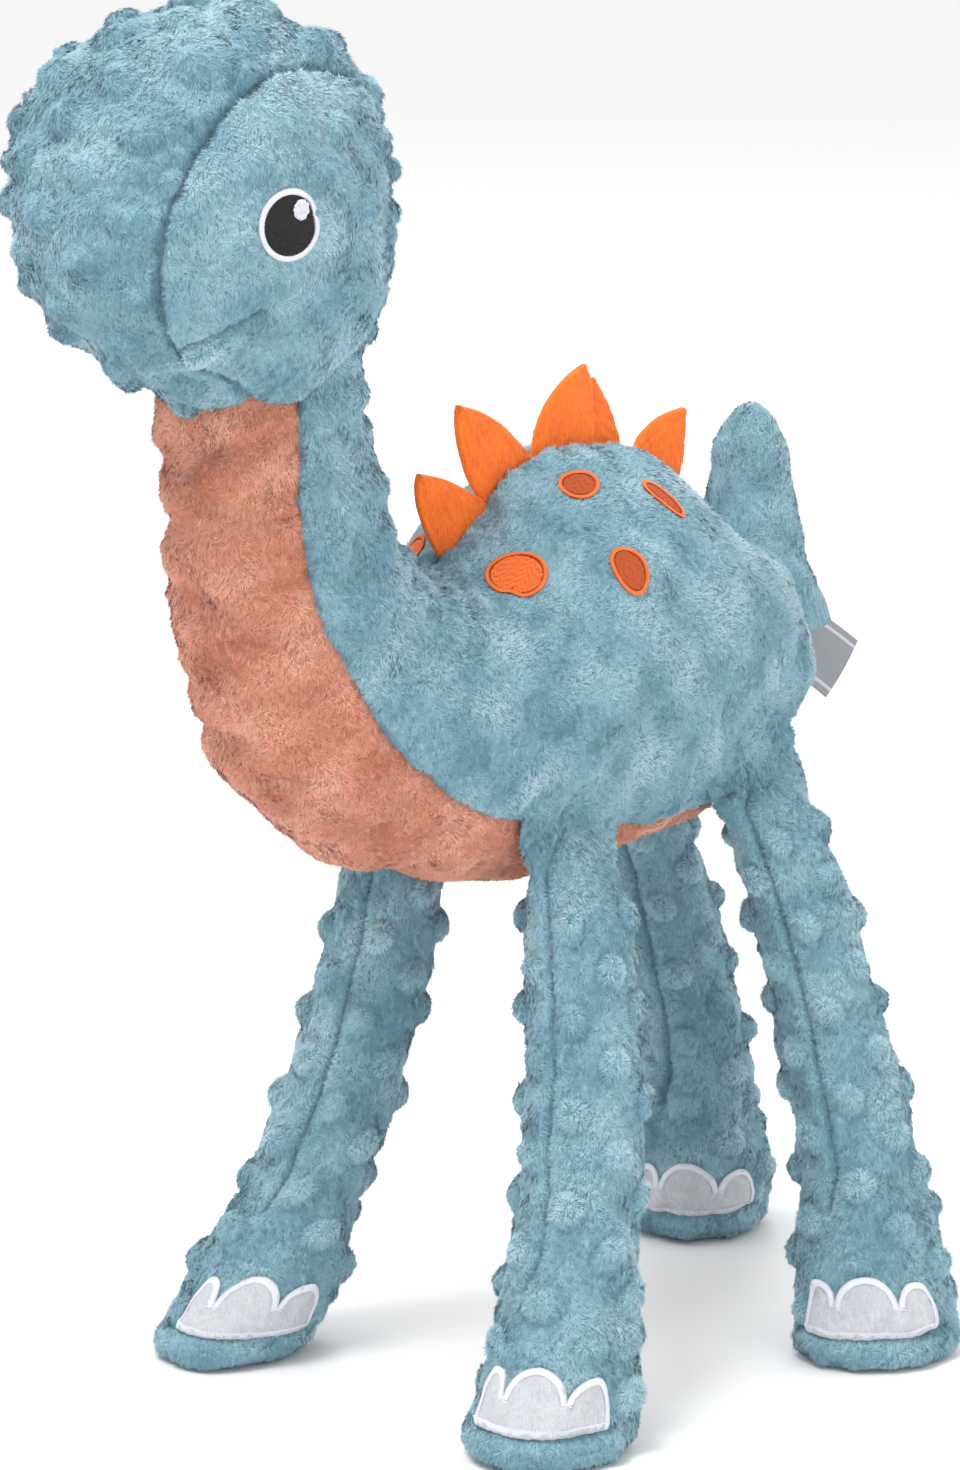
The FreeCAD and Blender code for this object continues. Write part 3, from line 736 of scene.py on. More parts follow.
def formHead():
    rows, columns = headBall.shape[:2]
    offset = headBall - np.array(head["centre"])
    across = 52 * np.arcsin(np.clip(offset[..., 0] / (head["half"][0] + 2), -1, 1))
    turn = np.arctan2(offset[..., 2] / head["half"][2], -offset[..., 1] / head["half"][1])
    along = 57 * turn
    rowIndex = np.arange(rows)[:, None] * np.ones((1, columns))
    first, second = (seam * headFiner for seam in headSeams)
    onGusset = (rowIndex >= first) & (rowIndex <= second)
    seamGap = np.minimum(
        np.linalg.norm(headBall - headBall[first], axis=-1),
        np.linalg.norm(headBall - headBall[second], axis=-1),
    )
    height = groove(seamGap, 1.5, 2.4)
    dots = latticeGap(along, across, head["dotRow"], head["dotStep"], 14)
    away = np.clip(seamGap / 5, 0, 1)
    bumps = np.where(onGusset, dome(dots, head["dotRadius"], head["dotHeight"]) * away, 0)
    mirrored = headBall * np.where(headBall[..., :1] < 0, [-1, 1, 1], [1, 1, 1])
    for x, y, z, size in cheekDots:
        gap = np.linalg.norm(mirrored - np.array((x, y, z)), axis=-1)
        bumps = bumps + np.where(onGusset, 0, dome(gap, 5.8, 1.7 * size))
    height += bumps
    crease = pathDistance(mirrored, mouth)
    height += np.where(onGusset, 0, groove(crease, 1.8, 3.2) + 1.3 * np.exp(-(((crease - 4.5) / 3) ** 2)))
    puckers = np.sin(2 * np.pi * (along / 9 + 0.5 * ripple(headBall, 30, 12)))
    height += 0.35 * puckers * np.exp(-((seamGap / 8) ** 2))
    height += 0.8 * ripple(headBall, 38, 13) + 0.3 * ripple(headBall, 15, 14)
    eyeGap = np.linalg.norm(mirrored - np.array(eyeSpot["place"]), axis=-1)
    calm = np.clip((eyeGap - 10) / 5, 0, 1)
    lines = np.minimum(seamGap, np.where(onGusset, 99, crease))
    # painted shade on the raised dots, stronger on the cheeks, and along the seam grooves and the mouth
    # crease; the cheeks are set a step lighter than the gusset
    paintedLight = np.where(onGusset, -0.32, -0.55) * bumps - 1.8 * np.exp(-((lines / 1.6) ** 2))
    paintedLight = paintedLight + np.where(onGusset, 0, 0.5)
    return height * calm, paintedLight, np.clip(lines / 1.4, 0.3, 1), eyeGap


headHeight, headPaintedLight, headThin, eyeGap = formHead()
headBall = headBall + headSmooth * headHeight[..., None]
# the underside is pushed up into a well where the neck stands
wellGap = np.hypot(headBall[..., 0] - head["well"][0], headBall[..., 1] - head["well"][1])
lower = headBall[..., 2] < head["centre"][2] - 15
inWell = np.clip((head["wellRadius"] - wellGap) / 5, 0, 1) * lower
collar = np.clip((headBall[..., 1] + 136) / 24, 0, 1) * np.exp(-(((wellGap - 33) / 10) ** 2)) * lower
headBall[..., 2] -= head["collar"] * collar * (1 - inWell)
headBall[..., 2] += inWell * (head["wellTop"] - headBall[..., 2])
headNormals = outwardNormals(headBall)
headTree = surfaceOf(headBall)
print("head formed", headBall.shape)


def headPiece(name, rows, nodes, seed, columns=None, capAt=None):
    # a cheek, which closes at its middle, or a part of the gusset
    grid = headBall[rows[0] * headFiner: rows[1] * headFiner + 1]
    keepRows = slice(rows[0] * headFiner, rows[1] * headFiner + 1)
    closed = columns is None
    keep = headThin[keepRows] * (inWell[keepRows] < 0.5) * (eyeGap[keepRows] > eyeSpot["radius"] - 1.0)
    paintedLight, smooth, normals = headPaintedLight[keepRows], headSmooth[keepRows], headNormals[keepRows]
    if columns is not None:
        index = np.arange(columns[0] * headFiner, columns[1] * headFiner + 1) % headBall.shape[1]
        grid, keep, paintedLight, smooth, normals = (part[:, index] for part in (grid, keep, paintedLight, smooth, normals))
    flip = (gridNormals(grid, closed) * normals).sum() < 0
    if flip:
        grid, keep, paintedLight, smooth, normals = (part[::-1] for part in (grid, keep, paintedLight, smooth, normals))
        capAt = None if capAt is None else 1 - capAt
    points, faces = grid.reshape(-1, 3), [quads(*grid.shape[:2], closed)]
    if capAt is not None:
        sides, fans = bagFaces(*grid.shape[:2], (capAt == 0, capAt == 1))
        points = np.concatenate([points, (grid[:1] if capAt == 0 else grid[-1:]).mean(1)])
        faces = [sides, fans]
    skin = meshPiece(name, points, faces, bluePlush)
    nap = np.array((0, 0.25, -1)) + 1.6 * (normals - smooth)
    tufts = growPile(name + "Pile", grid, nap, blueFibre, closed=closed, keep=keep, paintedLight=paintedLight, seed=seed)
    for part in (skin, tufts):
        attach(part, "head")
    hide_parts(*nodes)
    print(name, len(skin.data.polygons), len(tufts.data.polygons))


firstSeam, secondSeam = headSeams
lastRow = secondSeam + head["cheekRows"]
chinEnd = round((head["chinAngle"] + 90) / 360 * head["columns"])
headPiece("leftCheek", (0, firstSeam), ("left_cheek_cover", "head_stuffing"), 11, capAt=0)
headPiece("headGusset", headSeams, ("head_gusset_cover",), 12, columns=(chinEnd, head["columns"] - chinEnd))
headPiece("chinStrip", headSeams, ("chin_cover",), 13, columns=(-chinEnd, chinEnd))
headPiece("rightCheek", (secondSeam, lastRow), ("right_cheek_cover",), 14, capAt=1)


# tail: an upturned cone with a flared foot
tail = dict(
    stations=(
        (107, 228, 26), (106.5, 240, 23), (106.5, 252, 19), (107, 264, 15.6), (107.3, 276, 13),
        (107.5, 285, 11.4), (107.6, 291, 9.4), (107.7, 295.5, 6), (107.8, 298, 2.6), (107.8, 298.4, 0.4),
    ),
    rows=60, columns=96,
)


def formTail():
    places = np.linspace(0, len(tail["stations"]) - 1, tail["rows"])
    table = resample(np.array(tail["stations"], float), places)
    angles = np.arange(tail["columns"]) * 2 * np.pi / tail["columns"]
    y = table[:, :1] - table[:, 2:] * np.cos(angles)
    x = table[:, 2:] * np.sin(angles)
    grid = np.stack([x, y, table[:, 1:2] * np.ones_like(x)], -1)
    normals = outwardNormals(grid)
    height = groove(grid[..., 0], 1.8, 1.5) + 0.7 * ripple(grid, 22, 21) + 0.3 * ripple(grid, 9, 22)
    height = height * np.clip((299 - grid[..., 2:3]) / 8, 0, 1)[..., 0]
    grid = grid + normals * height[..., None]
    return grid if (gridNormals(grid) * normals).sum() > 0 else grid[::-1]


tailGrid = formTail()
sides, fans = bagFaces(*tailGrid.shape[:2])
ends = np.concatenate([tailGrid[:1].mean(1), tailGrid[-1:].mean(1)])
tailSkin = meshPiece("tailCover", np.concatenate([tailGrid.reshape(-1, 3), ends]), [sides, fans], bluePlush)
tailKeep = (tailGrid[..., 2] > 240).astype(float)
tailNap = np.array((0, 0.15, 1.0)) * np.ones(tailGrid.shape)
tailPile = growPile("tailPile", tailGrid, tailNap, blueFibre, closed=True, keep=tailKeep, seed=20)
for part in (tailSkin, tailPile):
    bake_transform(part)
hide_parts("tail_left_cover", "tail_right_cover", "tail_stuffing")
print("tail formed")


# legs: a sleeve sewn flat into the belly seam, with a flared foot
leg = dict(
    stations=(
        (-0.035, 0.8, 17, 1), (-0.015, 1.0, 19.5, 1), (0, 1.4, 20, 1), (0.03, 3.4, 19.2, 0.8),
        (0.08, 9.0, 17, 0.45), (0.14, 14.2, 16.8, 0.15), (0.22, 16, 17, 0),
        (0.4, 17, 18, 0), (0.6, 18, 19.5, 0), (0.75, 19.5, 21.5, 0), (0.86, 22, 25, 0), (0.94, 22.5, 27, 0),
        (0.98, 20.5, 24.5, 0), (1.0, 16, 20.5, 0),
    ),
    rows=58, columns=40, finer=3, hinge=0.135, foot=0.6, cloth=dict(slack=0.05, pressure=3.0, limit=0.9),
    dotHeight=3.5, dotRadius=5.6, dotRow=14.7, soleWide=15.5, soleLong=20, seamDepth=1.9, seamWidth=1.3,
    lipHeight=2.4, lipAt=5.5, lipWidth=4.5,
    patchBottom=11.0, scallops=((-23, -12.5, 28.5), (-12.5, 6.5, 30.5), (6.5, 23, 27.0)), notch=20.0,
)
legs = dict(
    left_front=dict(seam=(40.1, -11, 184.7), foot=(71.2, -49), bow=(0, 9), tilt=0, toe=36, phase=0),
    right_front=dict(seam=(-40.1, -8, 184.7), foot=(-73, -54), bow=(4, 10), tilt=0, toe=46, phase=9),
    left_rear=dict(seam=(36, 72, 192), foot=(71, 98), bow=(0, 10), tilt=28, toe=46, phase=5),
    right_rear=dict(seam=(-36, 76, 192.6), foot=(-71, 156.5), bow=(1, 13), tilt=29, toe=45, phase=14),
)


def legCentre(place, share):
    share = np.asarray(share, float)
    bow = 4 * share * (1 - share)
    return np.stack([
        place["seam"][0] * (1 - share) + place["foot"][0] * share + place["bow"][0] * bow,
        place["seam"][1] * (1 - share) + place["foot"][1] * share + place["bow"][1] * bow,
        place["seam"][2] * (1 - share) + leg["foot"] * share,
    ], -1)


def legGrid(place):
    table = np.array(leg["stations"], float)
    sleeve = np.linspace(leg["stations"][0][0], 0.9, leg["rows"] - 10)
    share = np.concatenate([sleeve, np.linspace(0.9, 1, 11)[1:]])
    fine = np.linspace(0, len(table) - 1, 800)
    smooth = resample(table, fine)
    values = np.stack([np.interp(share, smooth[:, 0], smooth[:, k]) for k in (1, 2, 3)], 1)
    angles = np.arange(leg["columns"]) * 2 * np.pi / leg["columns"]
    tilt = np.radians(place["tilt"] * values[:, 2:3])
    across = values[:, :1] * np.sin(angles)
    along = -values[:, 1:2] * np.cos(angles)
    centre = legCentre(place, share)[:, None]
    ring = np.stack([across, along * np.cos(tilt), along * np.sin(tilt)], -1)
    return centre + ring, share


def formLeg(name, place):
    grid, share = legGrid(place)
    grid = swell(name + "Bag", grid, endPins(grid.shape[:2], (), 1, 2), leg["cloth"])
    grid = refine(grid, leg["finer"])
    share = resample(share, np.arange(grid.shape[0]) / leg["finer"])
    grid[-1, :, 2] = leg["foot"]
    smooth = outwardNormals(grid)
    centre = legCentre(place, share)[:, None]
    offset = grid - centre
    turn = np.degrees(np.arctan2(offset[..., 0], -offset[..., 1]))
    length = np.linalg.norm(centre[-1, 0] - centre[0, 0])
    down = (share * length)[:, None] * np.ones_like(turn)
    above = grid[..., 2]
    fromToe = (turn - place["toe"] + 180) % 360 - 180
    radius = 19.0
    # front seam, ending in a small dart over the foot
    seamTurn = place["toe"] - 22 - 14 * np.clip((62 - above) / 14, 0, 1)
    fromSeam = (turn - seamTurn + 180) % 360 - 180
    seamGap = np.abs(fromSeam) * math.pi / 180 * radius
    seamGap = np.where(above < 50, np.hypot(seamGap, above - 50), seamGap)
    across = fromSeam * math.pi / 180 * radius
    # dots of the plush, left out beside the seam and under the toe patch
    step = 360 * math.pi / 180 * radius / 4
    dots = latticeGap(down + place["phase"], across, leg["dotRow"], step, step / 4)
    clear = np.clip((down - 16) / 8, 0, 1) * np.clip((seamGap - 2.5) / 3, 0, 1)
    underPatch = np.clip((np.abs(fromToe) - 58) / 8, 0, 1)
    clear *= np.where(above < 36, np.maximum(underPatch, np.clip((above - 31) / 4, 0, 1)), 1)
    clear *= np.clip((above - 8) / 5, 0, 1)
    bumps = dome(dots, leg["dotRadius"], leg["dotHeight"]) * clear
    height = bumps + groove(seamGap, leg["seamWidth"], leg["seamDepth"])
    height += 0.7 * np.exp(-(((seamGap - 3.2) / 1.8) ** 2)) * (above > 50)
    lip = leg["lipHeight"] * np.exp(-(((above - leg["lipAt"]) / leg["lipWidth"]) ** 2))
    underToe = 1.6 * np.exp(-(((above - 11) / 1.6) ** 2)) * (np.abs(fromToe) < 70)
    height += lip * np.where(np.abs(fromToe) < 75, 1, 0.4) - underToe
    calm = np.clip(down / 14, 0.15, 1)
    height += calm * (0.6 * ripple(grid, 30, 50) + 0.35 * ripple(grid, 12, 51))
    # puckers just under the belly seam
    height += 0.8 * np.sin(np.radians(turn) * 9) * np.exp(-(((down - 9) / 8) ** 2)) * np.clip(down / 6, 0, 1)
    grid = grid + smooth * height[..., None] * np.clip((above - 0.4) / 1.5, 0, 1)[..., None]
    grid[..., 2] = np.maximum(grid[..., 2], leg["foot"])
    # painted light: dot tops lighter, a painted shadow ring round the foot of each dot and painted shade
    # along the seam groove; the whole sleeve a step darker
    ring = clear * np.exp(-(((dots - leg["dotRadius"] - 0.6) / 1.4) ** 2))
    paintedLight = 0.3 * bumps - 0.2 - 0.8 * ring - 1.8 * np.exp(-((seamGap / 1.4) ** 2))
    return grid, smooth, paintedLight, fromToe, np.clip(seamGap / 1.2, 0.3, 1)


def scallopTop(arc):
    # upper edge of the toe patch: three round lobes of felt between two notches
    top = np.full(arc.shape, leg["patchBottom"])
    for low, high, peak in leg["scallops"]:
        middle, half = (low + high) / 2, (high - low) / 2
        firstEnd = (low == leg["scallops"][0][0]) & (arc < middle)
        lastEnd = (high == leg["scallops"][-1][1]) & (arc > middle)
        outer = firstEnd | lastEnd
        foot = np.where(outer, leg["patchBottom"] + 1, leg["notch"])
        curve = np.sqrt(np.clip(1 - np.abs((arc - middle) / half) ** np.where(outer, 2.6, 2.0), 0, 1))
        top = np.where((arc >= low) & (arc <= high), foot + (peak - foot) * curve, top)
    return top


# felt, thread and ribbon finishes
orangeFelt = patternedCloth("orangeFelt", (0.8, 0.12, 0.008), (0.98, 0.2, 0.014), 0.9, 0.3, 120, 1500, 0.5)
whiteFelt = patternedCloth("whiteFelt", (0.4, 0.415, 0.44), (0.54, 0.555, 0.585), 0.9, 0.2, 160, 1600, 0.4)
spotBase = patternedCloth("spotBase", (0.24, 0.035, 0.006), (0.4, 0.065, 0.012), 0.8, 0.1, 300, 2500, 0.4)
eyeBase = patternedCloth("eyeBase", (0.008, 0.007, 0.007), (0.03, 0.027, 0.027), 0.7, 0.1, 300, 2500, 0.4)
orangeThread = principled("orangeThread", (0.88, 0.17, 0.02), 0.5, 0.2)[0]
brownThread = principled("brownThread", (0.5, 0.085, 0.013), 0.55, 0.15)[0]
whiteThread = principled("whiteThread", (0.68, 0.69, 0.74), 0.5, 0.15)[0]
blackThread = principled("blackThread", (0.014, 0.012, 0.012), 0.5, 0.1)[0]


# embroidery: every stitch is a short thread laid from one point to another
def stitchTree():
    tree = bpy.data.node_groups.new("satinStitch", "GeometryNodeTree")
    face = tree.interface
    face.new_socket("Stitches", in_out="INPUT", socket_type="NodeSocketGeometry")
    face.new_socket("Thread Radius", in_out="INPUT", socket_type="NodeSocketFloat")
    face.new_socket("Overlap", in_out="INPUT", socket_type="NodeSocketFloat")
    face.new_socket("Thread", in_out="INPUT", socket_type="NodeSocketMaterial")
    face.new_socket("Embroidery", in_out="OUTPUT", socket_type="NodeSocketGeometry")
    nodes, links = tree.nodes, tree.links
    start, end = nodes.new("NodeGroupInput"), nodes.new("NodeGroupOutput")
    run = nodes.new("GeometryNodeInputNamedAttribute")
    run.data_type = "FLOAT_VECTOR"
    run.inputs["Name"].default_value = "run"
    length, half = nodes.new("ShaderNodeVectorMath"), nodes.new("ShaderNodeMath")
    length.operation = "LENGTH"
    half.operation = "MULTIPLY"
    aim = nodes.new("FunctionNodeAlignRotationToVector")
    aim.axis = "Z"
    thread, size = nodes.new("GeometryNodeMeshUVSphere"), nodes.new("ShaderNodeCombineXYZ")
    thread.inputs["Segments"].default_value = 6
    thread.inputs["Rings"].default_value = 5
    thread.inputs["Radius"].default_value = 1
    smooth = nodes.new("GeometryNodeSetShadeSmooth")
    lay, real = nodes.new("GeometryNodeInstanceOnPoints"), nodes.new("GeometryNodeRealizeInstances")
    paint = nodes.new("GeometryNodeSetMaterial")
    links.new(run.outputs["Attribute"], length.inputs[0])
    links.new(length.outputs["Value"], half.inputs[0])
    links.new(start.outputs["Overlap"], half.inputs[1])
    links.new(run.outputs["Attribute"], aim.inputs["Vector"])
    links.new(start.outputs["Thread Radius"], size.inputs["X"])
    links.new(start.outputs["Thread Radius"], size.inputs["Y"])
    links.new(half.outputs[0], size.inputs["Z"])
    links.new(thread.outputs["Mesh"], smooth.inputs["Geometry"])
    links.new(start.outputs["Stitches"], lay.inputs["Points"])
    links.new(smooth.outputs["Geometry"], lay.inputs["Instance"])
    links.new(aim.outputs["Rotation"], lay.inputs["Rotation"])
    links.new(size.outputs["Vector"], lay.inputs["Scale"])
    links.new(lay.outputs["Instances"], real.inputs["Geometry"])
    links.new(real.outputs["Geometry"], paint.inputs["Geometry"])
    links.new(start.outputs["Thread"], paint.inputs["Material"])
    links.new(paint.outputs["Geometry"], end.inputs["Embroidery"])
    return tree


stitchNodes = stitchTree()
stitch = dict(radius=0.27, overlap=0.56, pitch=0.44, fillLength=2.8)


def sew(name, starts, ends, thread, body, radius=stitch["radius"]):
    starts, ends = np.asarray(starts, float), np.asarray(ends, float)
    mesh = bpy.data.meshes.new(name + "Points")
    mesh.from_pydata(((starts + ends) / 2 * mm).tolist(), [], [])
    run = mesh.attributes.new("run", "FLOAT_VECTOR", "POINT")
    run.data.foreach_set("vector", ((ends - starts) * mm).ravel().astype(np.float32))
    marker = bpy.data.objects.new(name + "Points", mesh)
    bpy.context.scene.collection.objects.link(marker)
    modifier = marker.modifiers.new("stitches", "NODES")
    modifier.node_group = stitchNodes
    values = {"Thread Radius": radius * mm, "Overlap": stitch["overlap"], "Thread": thread}
    for item in stitchNodes.interface.items_tree:
        if item.name in values:
            modifier[item.identifier] = values[item.name]
    sewn = bpy.data.meshes.new_from_object(marker.evaluated_get(bpy.context.evaluated_depsgraph_get()))
    bpy.data.objects.remove(marker)
    sewn.name = name
    piece = bpy.data.objects.new(name, sewn)
    bpy.context.scene.collection.objects.link(piece)
    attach(piece, body)
    return piece


def evenPath(path, step):
    run = np.concatenate([[0], np.cumsum(np.linalg.norm(np.diff(path, axis=0), axis=1))])
    places = np.linspace(0, run[-1], max(3, int(run[-1] / step)))
    return np.stack([np.interp(places, run, path[:, k]) for k in range(path.shape[1])], 1)


def fillStitches(inside, reach, seed, tilt=0.0):
    # rows of running threads that fill an outline, as pairs of flat points
    random = np.random.default_rng(seed)
    starts, ends = [], []
    for level in np.arange(-reach, reach, stitch["pitch"] * 0.95):
        place = -reach - random.uniform(0, stitch["fillLength"])
        while place < reach:
            long = stitch["fillLength"] * random.uniform(0.75, 1.15)
            a, b = place, place + long
            steps = np.linspace(a, b, 12)
            flat = np.stack([
                steps * math.cos(tilt) - level * math.sin(tilt),
                steps * math.sin(tilt) + level * math.cos(tilt),
            ], 1)
            held = flat[inside(flat)]
            if len(held) > 3:
                starts.append(held[0])
                ends.append(held[-1])
            place = b
    return np.array(starts), np.array(ends)


class Pattern:
    # a flat pattern laid on a surface: points given along and up, in millimetres
    def __init__(self, tree, centre, out, along, up):
        self.tree, self.centre, self.out = tree, np.array(centre, float), unit(out)
        self.along, self.up = unit(along), unit(up)

    def lay(self, flat, lift):
        flat = np.asarray(flat, float)
        points = self.centre + flat[:, :1] * self.along + flat[:, 1:] * self.up
        laid, normals = layOn(self.tree, points, np.broadcast_to(-self.out, points.shape), 12)
        normals = normals * 0.5 + self.out * 0.5
        return laid + normals * np.reshape(lift, (-1, 1))


def disc(name, pattern, edge, profile, material, columns=72):
    # rings from the middle out; profile holds (share of the edge, lift)
    angles = np.arange(columns) * 2 * np.pi / columns
    rim = edge(angles)
    rows = [pattern.lay(rim * share, lift) for share, lift in profile]
    grid = np.array(rows)
    order = slice(None) if (gridNormals(grid) @ pattern.out).sum() > 0 else slice(None, None, -1)
    if profile[0][0] < 0.2:
        sides, fans = bagFaces(len(rows), columns, (True, False))
        points = np.concatenate([grid.reshape(-1, 3), grid[:1].mean(1)])
        faces = [sides[:, order], fans[:, order]]
    else:
        points, faces = grid.reshape(-1, 3), [quads(len(rows), columns, True)[:, order]]
    return meshPiece(name, points, faces, material)


def oval(along, up, factors=None):
    def edge(angles):
        rim = np.stack([along * np.cos(angles), up * np.sin(angles)], 1)
        return rim if factors is None else rim * factors(angles)[:, None]
    return edge


def edgeStitches(pattern, edge, inner, lift, count):
    angles = np.linspace(0, 2 * np.pi, count, endpoint=False)
    rim = edge(angles)
    size = np.linalg.norm(rim, axis=1, keepdims=True)
    return pattern.lay(rim * (size - inner) / size, lift), pattern.lay(rim * (size + 0.15) / size, lift)


def insideOval(along, up, margin):
    return lambda flat: np.hypot(flat[:, 0] / (along - margin), flat[:, 1] / (up - margin)) < 1


for side, word in ((1, "left"), (-1, "right")):
    for number, spot in enumerate(spots, 1):
        centre, out, along, up = spotFrame(spot, side)
        pattern = Pattern(bodyTree, centre, out, along, up)
        edge = oval(spot["along"], spot["up"], lambda angles, spot=spot: spotEdge(spot, angles))
        node = "spot_%s_%d" % (word, number)
        profile = ((0.03, 0.5), (0.3, 0.5), (0.6, 0.5), (0.85, 0.45), (0.97, 0.4), (1.0, -0.5))
        base = disc(node + "_base", pattern, edge, profile, spotBase)
        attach(base, "torso")
        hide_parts(node)
        count = int(math.pi * (spot["along"] + spot["up"]) / stitch["pitch"])
        starts, ends = edgeStitches(pattern, edge, 1.15, 0.8, count)
        sew(node + "_edge", starts, ends, orangeThread, "torso", 0.24)
        starts, ends = fillStitches(insideOval(spot["along"], spot["up"], 1.45), 10, 60 + number, 0.5)
        if spot["bite"]:
            middles = (starts + ends) / 2
            turns = np.arctan2(middles[:, 1] / spot["up"], middles[:, 0] / spot["along"]) % (2 * math.pi)
            held = np.linalg.norm(middles, axis=1) < np.linalg.norm(edge(turns), axis=1) - 1.45
            starts, ends = starts[held], ends[held]
        # painted sheen: spot 1 is filled with the brighter orange thread, the other spots with brown
        fill = orangeThread if number == 1 else brownThread
        starts, ends = pattern.lay(starts, 0.6), pattern.lay(ends, 0.6)
        sew(node + "_fill", starts, ends, fill, "torso", 0.24)

    out = unit(np.array(eyeSpot["out"]) * (side, 1, 1))
    along = unit(np.array((0, 1, 0)) - out * out[1])
    up = np.cross(along, out)
    up = up if up[2] > 0 else -up
    pattern = Pattern(headTree, np.array(eyeSpot["place"]) * (side, 1, 1), out, along, up)
    radius, rim = eyeSpot["radius"], eyeSpot["rim"]
    pupil = disc(word + "_pupil", pattern, oval(radius - rim + 0.4, radius - rim + 0.4),
                 ((0.02, 1.1), (0.25, 1.05), (0.5, 0.95), (0.75, 0.8), (0.95, 0.55), (1.0, 0.0)), eyeBase)
    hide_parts(word + "_eye_pupil")
    profile = ((1 - (rim + 0.3) / radius, 0.4), (0.9, 0.8), (0.95, 0.75), (0.99, 0.4), (1.0, -0.6))
    ring = disc(word + "_eye_rim", pattern, oval(radius, radius), profile, whiteThread)
    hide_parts(word + "_eye_ring")
    glintCentre = pattern.centre + along * eyeSpot["glint"][0] + up * eyeSpot["glint"][1]
    glintPattern = Pattern(headTree, glintCentre, out, along, up)
    glint = disc(word + "_glint", glintPattern, oval(eyeSpot["glintRadius"], eyeSpot["glintRadius"] * 1.1),
                 ((0.05, 1.3), (0.5, 1.3), (0.85, 1.2), (1.0, 0.4)), whiteThread, 40)
    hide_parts(word + "_eye_glint")
    for piece, slot in ((pupil, "black_thread"), (ring, "white_thread"), (glint, "white_thread")):
        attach(piece, "head")
    count = int(2 * math.pi * radius / stitch["pitch"])
    starts, ends = edgeStitches(pattern, oval(radius, radius), rim, 0.95, count)
    sew(word + "_eye_rim_stitches", starts, ends, whiteThread, "head")
    starts, ends = fillStitches(insideOval(radius, radius, rim), radius, 71, 0.6)
    bulge = 1.12 - 0.005 * ((starts + ends) ** 2).sum(1) / 4
    starts, ends = pattern.lay(starts, bulge), pattern.lay(ends, bulge)
    sew(word + "_pupil_stitches", starts, ends, blackThread, "head", 0.24)
    insideGlint = insideOval(eyeSpot["glintRadius"], eyeSpot["glintRadius"] * 1.1, 0.2)
    starts, ends = fillStitches(insideGlint, 4, 72, 1.3)
    starts, ends = glintPattern.lay(starts, 1.35), glintPattern.lay(ends, 1.35)
    sew(word + "_glint_stitches", starts, ends, whiteThread, "head", 0.24)
print("embroidery sewn")


# legs, soles and toe patches
def toePatch(name, place, grid):
    tree = surfaceOf(grid)
    first, last = leg["scallops"][0][0], leg["scallops"][-1][1]

    def lay(arc, above, lift):
        arc, above = np.asarray(arc, float).ravel(), np.asarray(above, float).ravel()
        turn = np.radians(place["toe"]) + arc / 24.0
        out = np.stack([np.sin(turn), -np.cos(turn), 0 * turn], 1)
        centre = legCentre(place, 1 - above / place["seam"][2])
        points = np.stack([centre[:, 0], centre[:, 1], above], 1) + out * 24
        laid, normals = layOn(tree, points, -out, 20)
        normals = normals * 0.6 + out * 0.4
        return laid + normals * np.reshape(lift, (-1, 1))

    easy = (1 - np.cos(np.linspace(0, np.pi, 90))) / 2
    arc = first + (last - first) * easy
    share = (1 - np.cos(np.linspace(0, np.pi, 26))) / 2
    arcs = np.broadcast_to(arc, (26, 90))
    above = leg["patchBottom"] + (scallopTop(arc) - leg["patchBottom"]) * share[:, None]
    inset = np.minimum.reduce([
        arcs - first, last - arcs, above - leg["patchBottom"], scallopTop(arc) - above,
    ])
    lift = -0.6 + 1.9 * np.clip(inset / 0.5, 0, 1) ** 0.5
    patchGrid = lay(arcs, above, lift.ravel()).reshape(26, 90, 3)
    patchGrid = patchGrid + 0.1 * ripple(patchGrid, 3, 81)[..., None] * gridNormals(patchGrid, False)
    faces = quads(26, 90, False)
    middle = patchGrid[13, 45] - legCentre(place, 0.9)
    if gridNormals(patchGrid, False)[13, 45] @ (middle * (1, 1, 0)) < 0:
        faces = faces[:, ::-1]
    patch = meshPiece(name + "_toe_felt", patchGrid.reshape(-1, 3), faces, whiteFelt)
    # satin stitches over the whole edge
    fine = np.linspace(first, last, 400)
    outline = np.concatenate([np.stack([fine, scallopTop(fine)], 1), [[first, leg["patchBottom"]]]])
    outline[-1] = outline[0]
    outline = evenPath(outline, stitch["pitch"])
    tangent = np.gradient(outline, axis=0)
    tangent /= np.linalg.norm(tangent, axis=1, keepdims=True)
    inward = np.stack([tangent[:, 1], -tangent[:, 0]], 1)
    inner, outer = outline + inward * 1.9, outline - inward * 0.2
    inner[:, 1] = np.maximum(inner[:, 1], leg["patchBottom"])
    starts = lay(outer[:, 0], outer[:, 1], 1.1)
    ends = lay(inner[:, 0], inner[:, 1], 1.5)
    stitches = sew(name + "_toe_stitches", starts, ends, whiteThread, name + "_leg", 0.29)
    return patch, stitches


def patchCover(name, place, grid, fromToe):
    arc = np.radians(fromToe) * 24.0
    above = grid[..., 2]
    first, last = leg["scallops"][0][0], leg["scallops"][-1][1]
    inside = (arc > first) & (arc < last) & (above > leg["patchBottom"]) & (above < scallopTop(arc) - 0.4)
    return inside


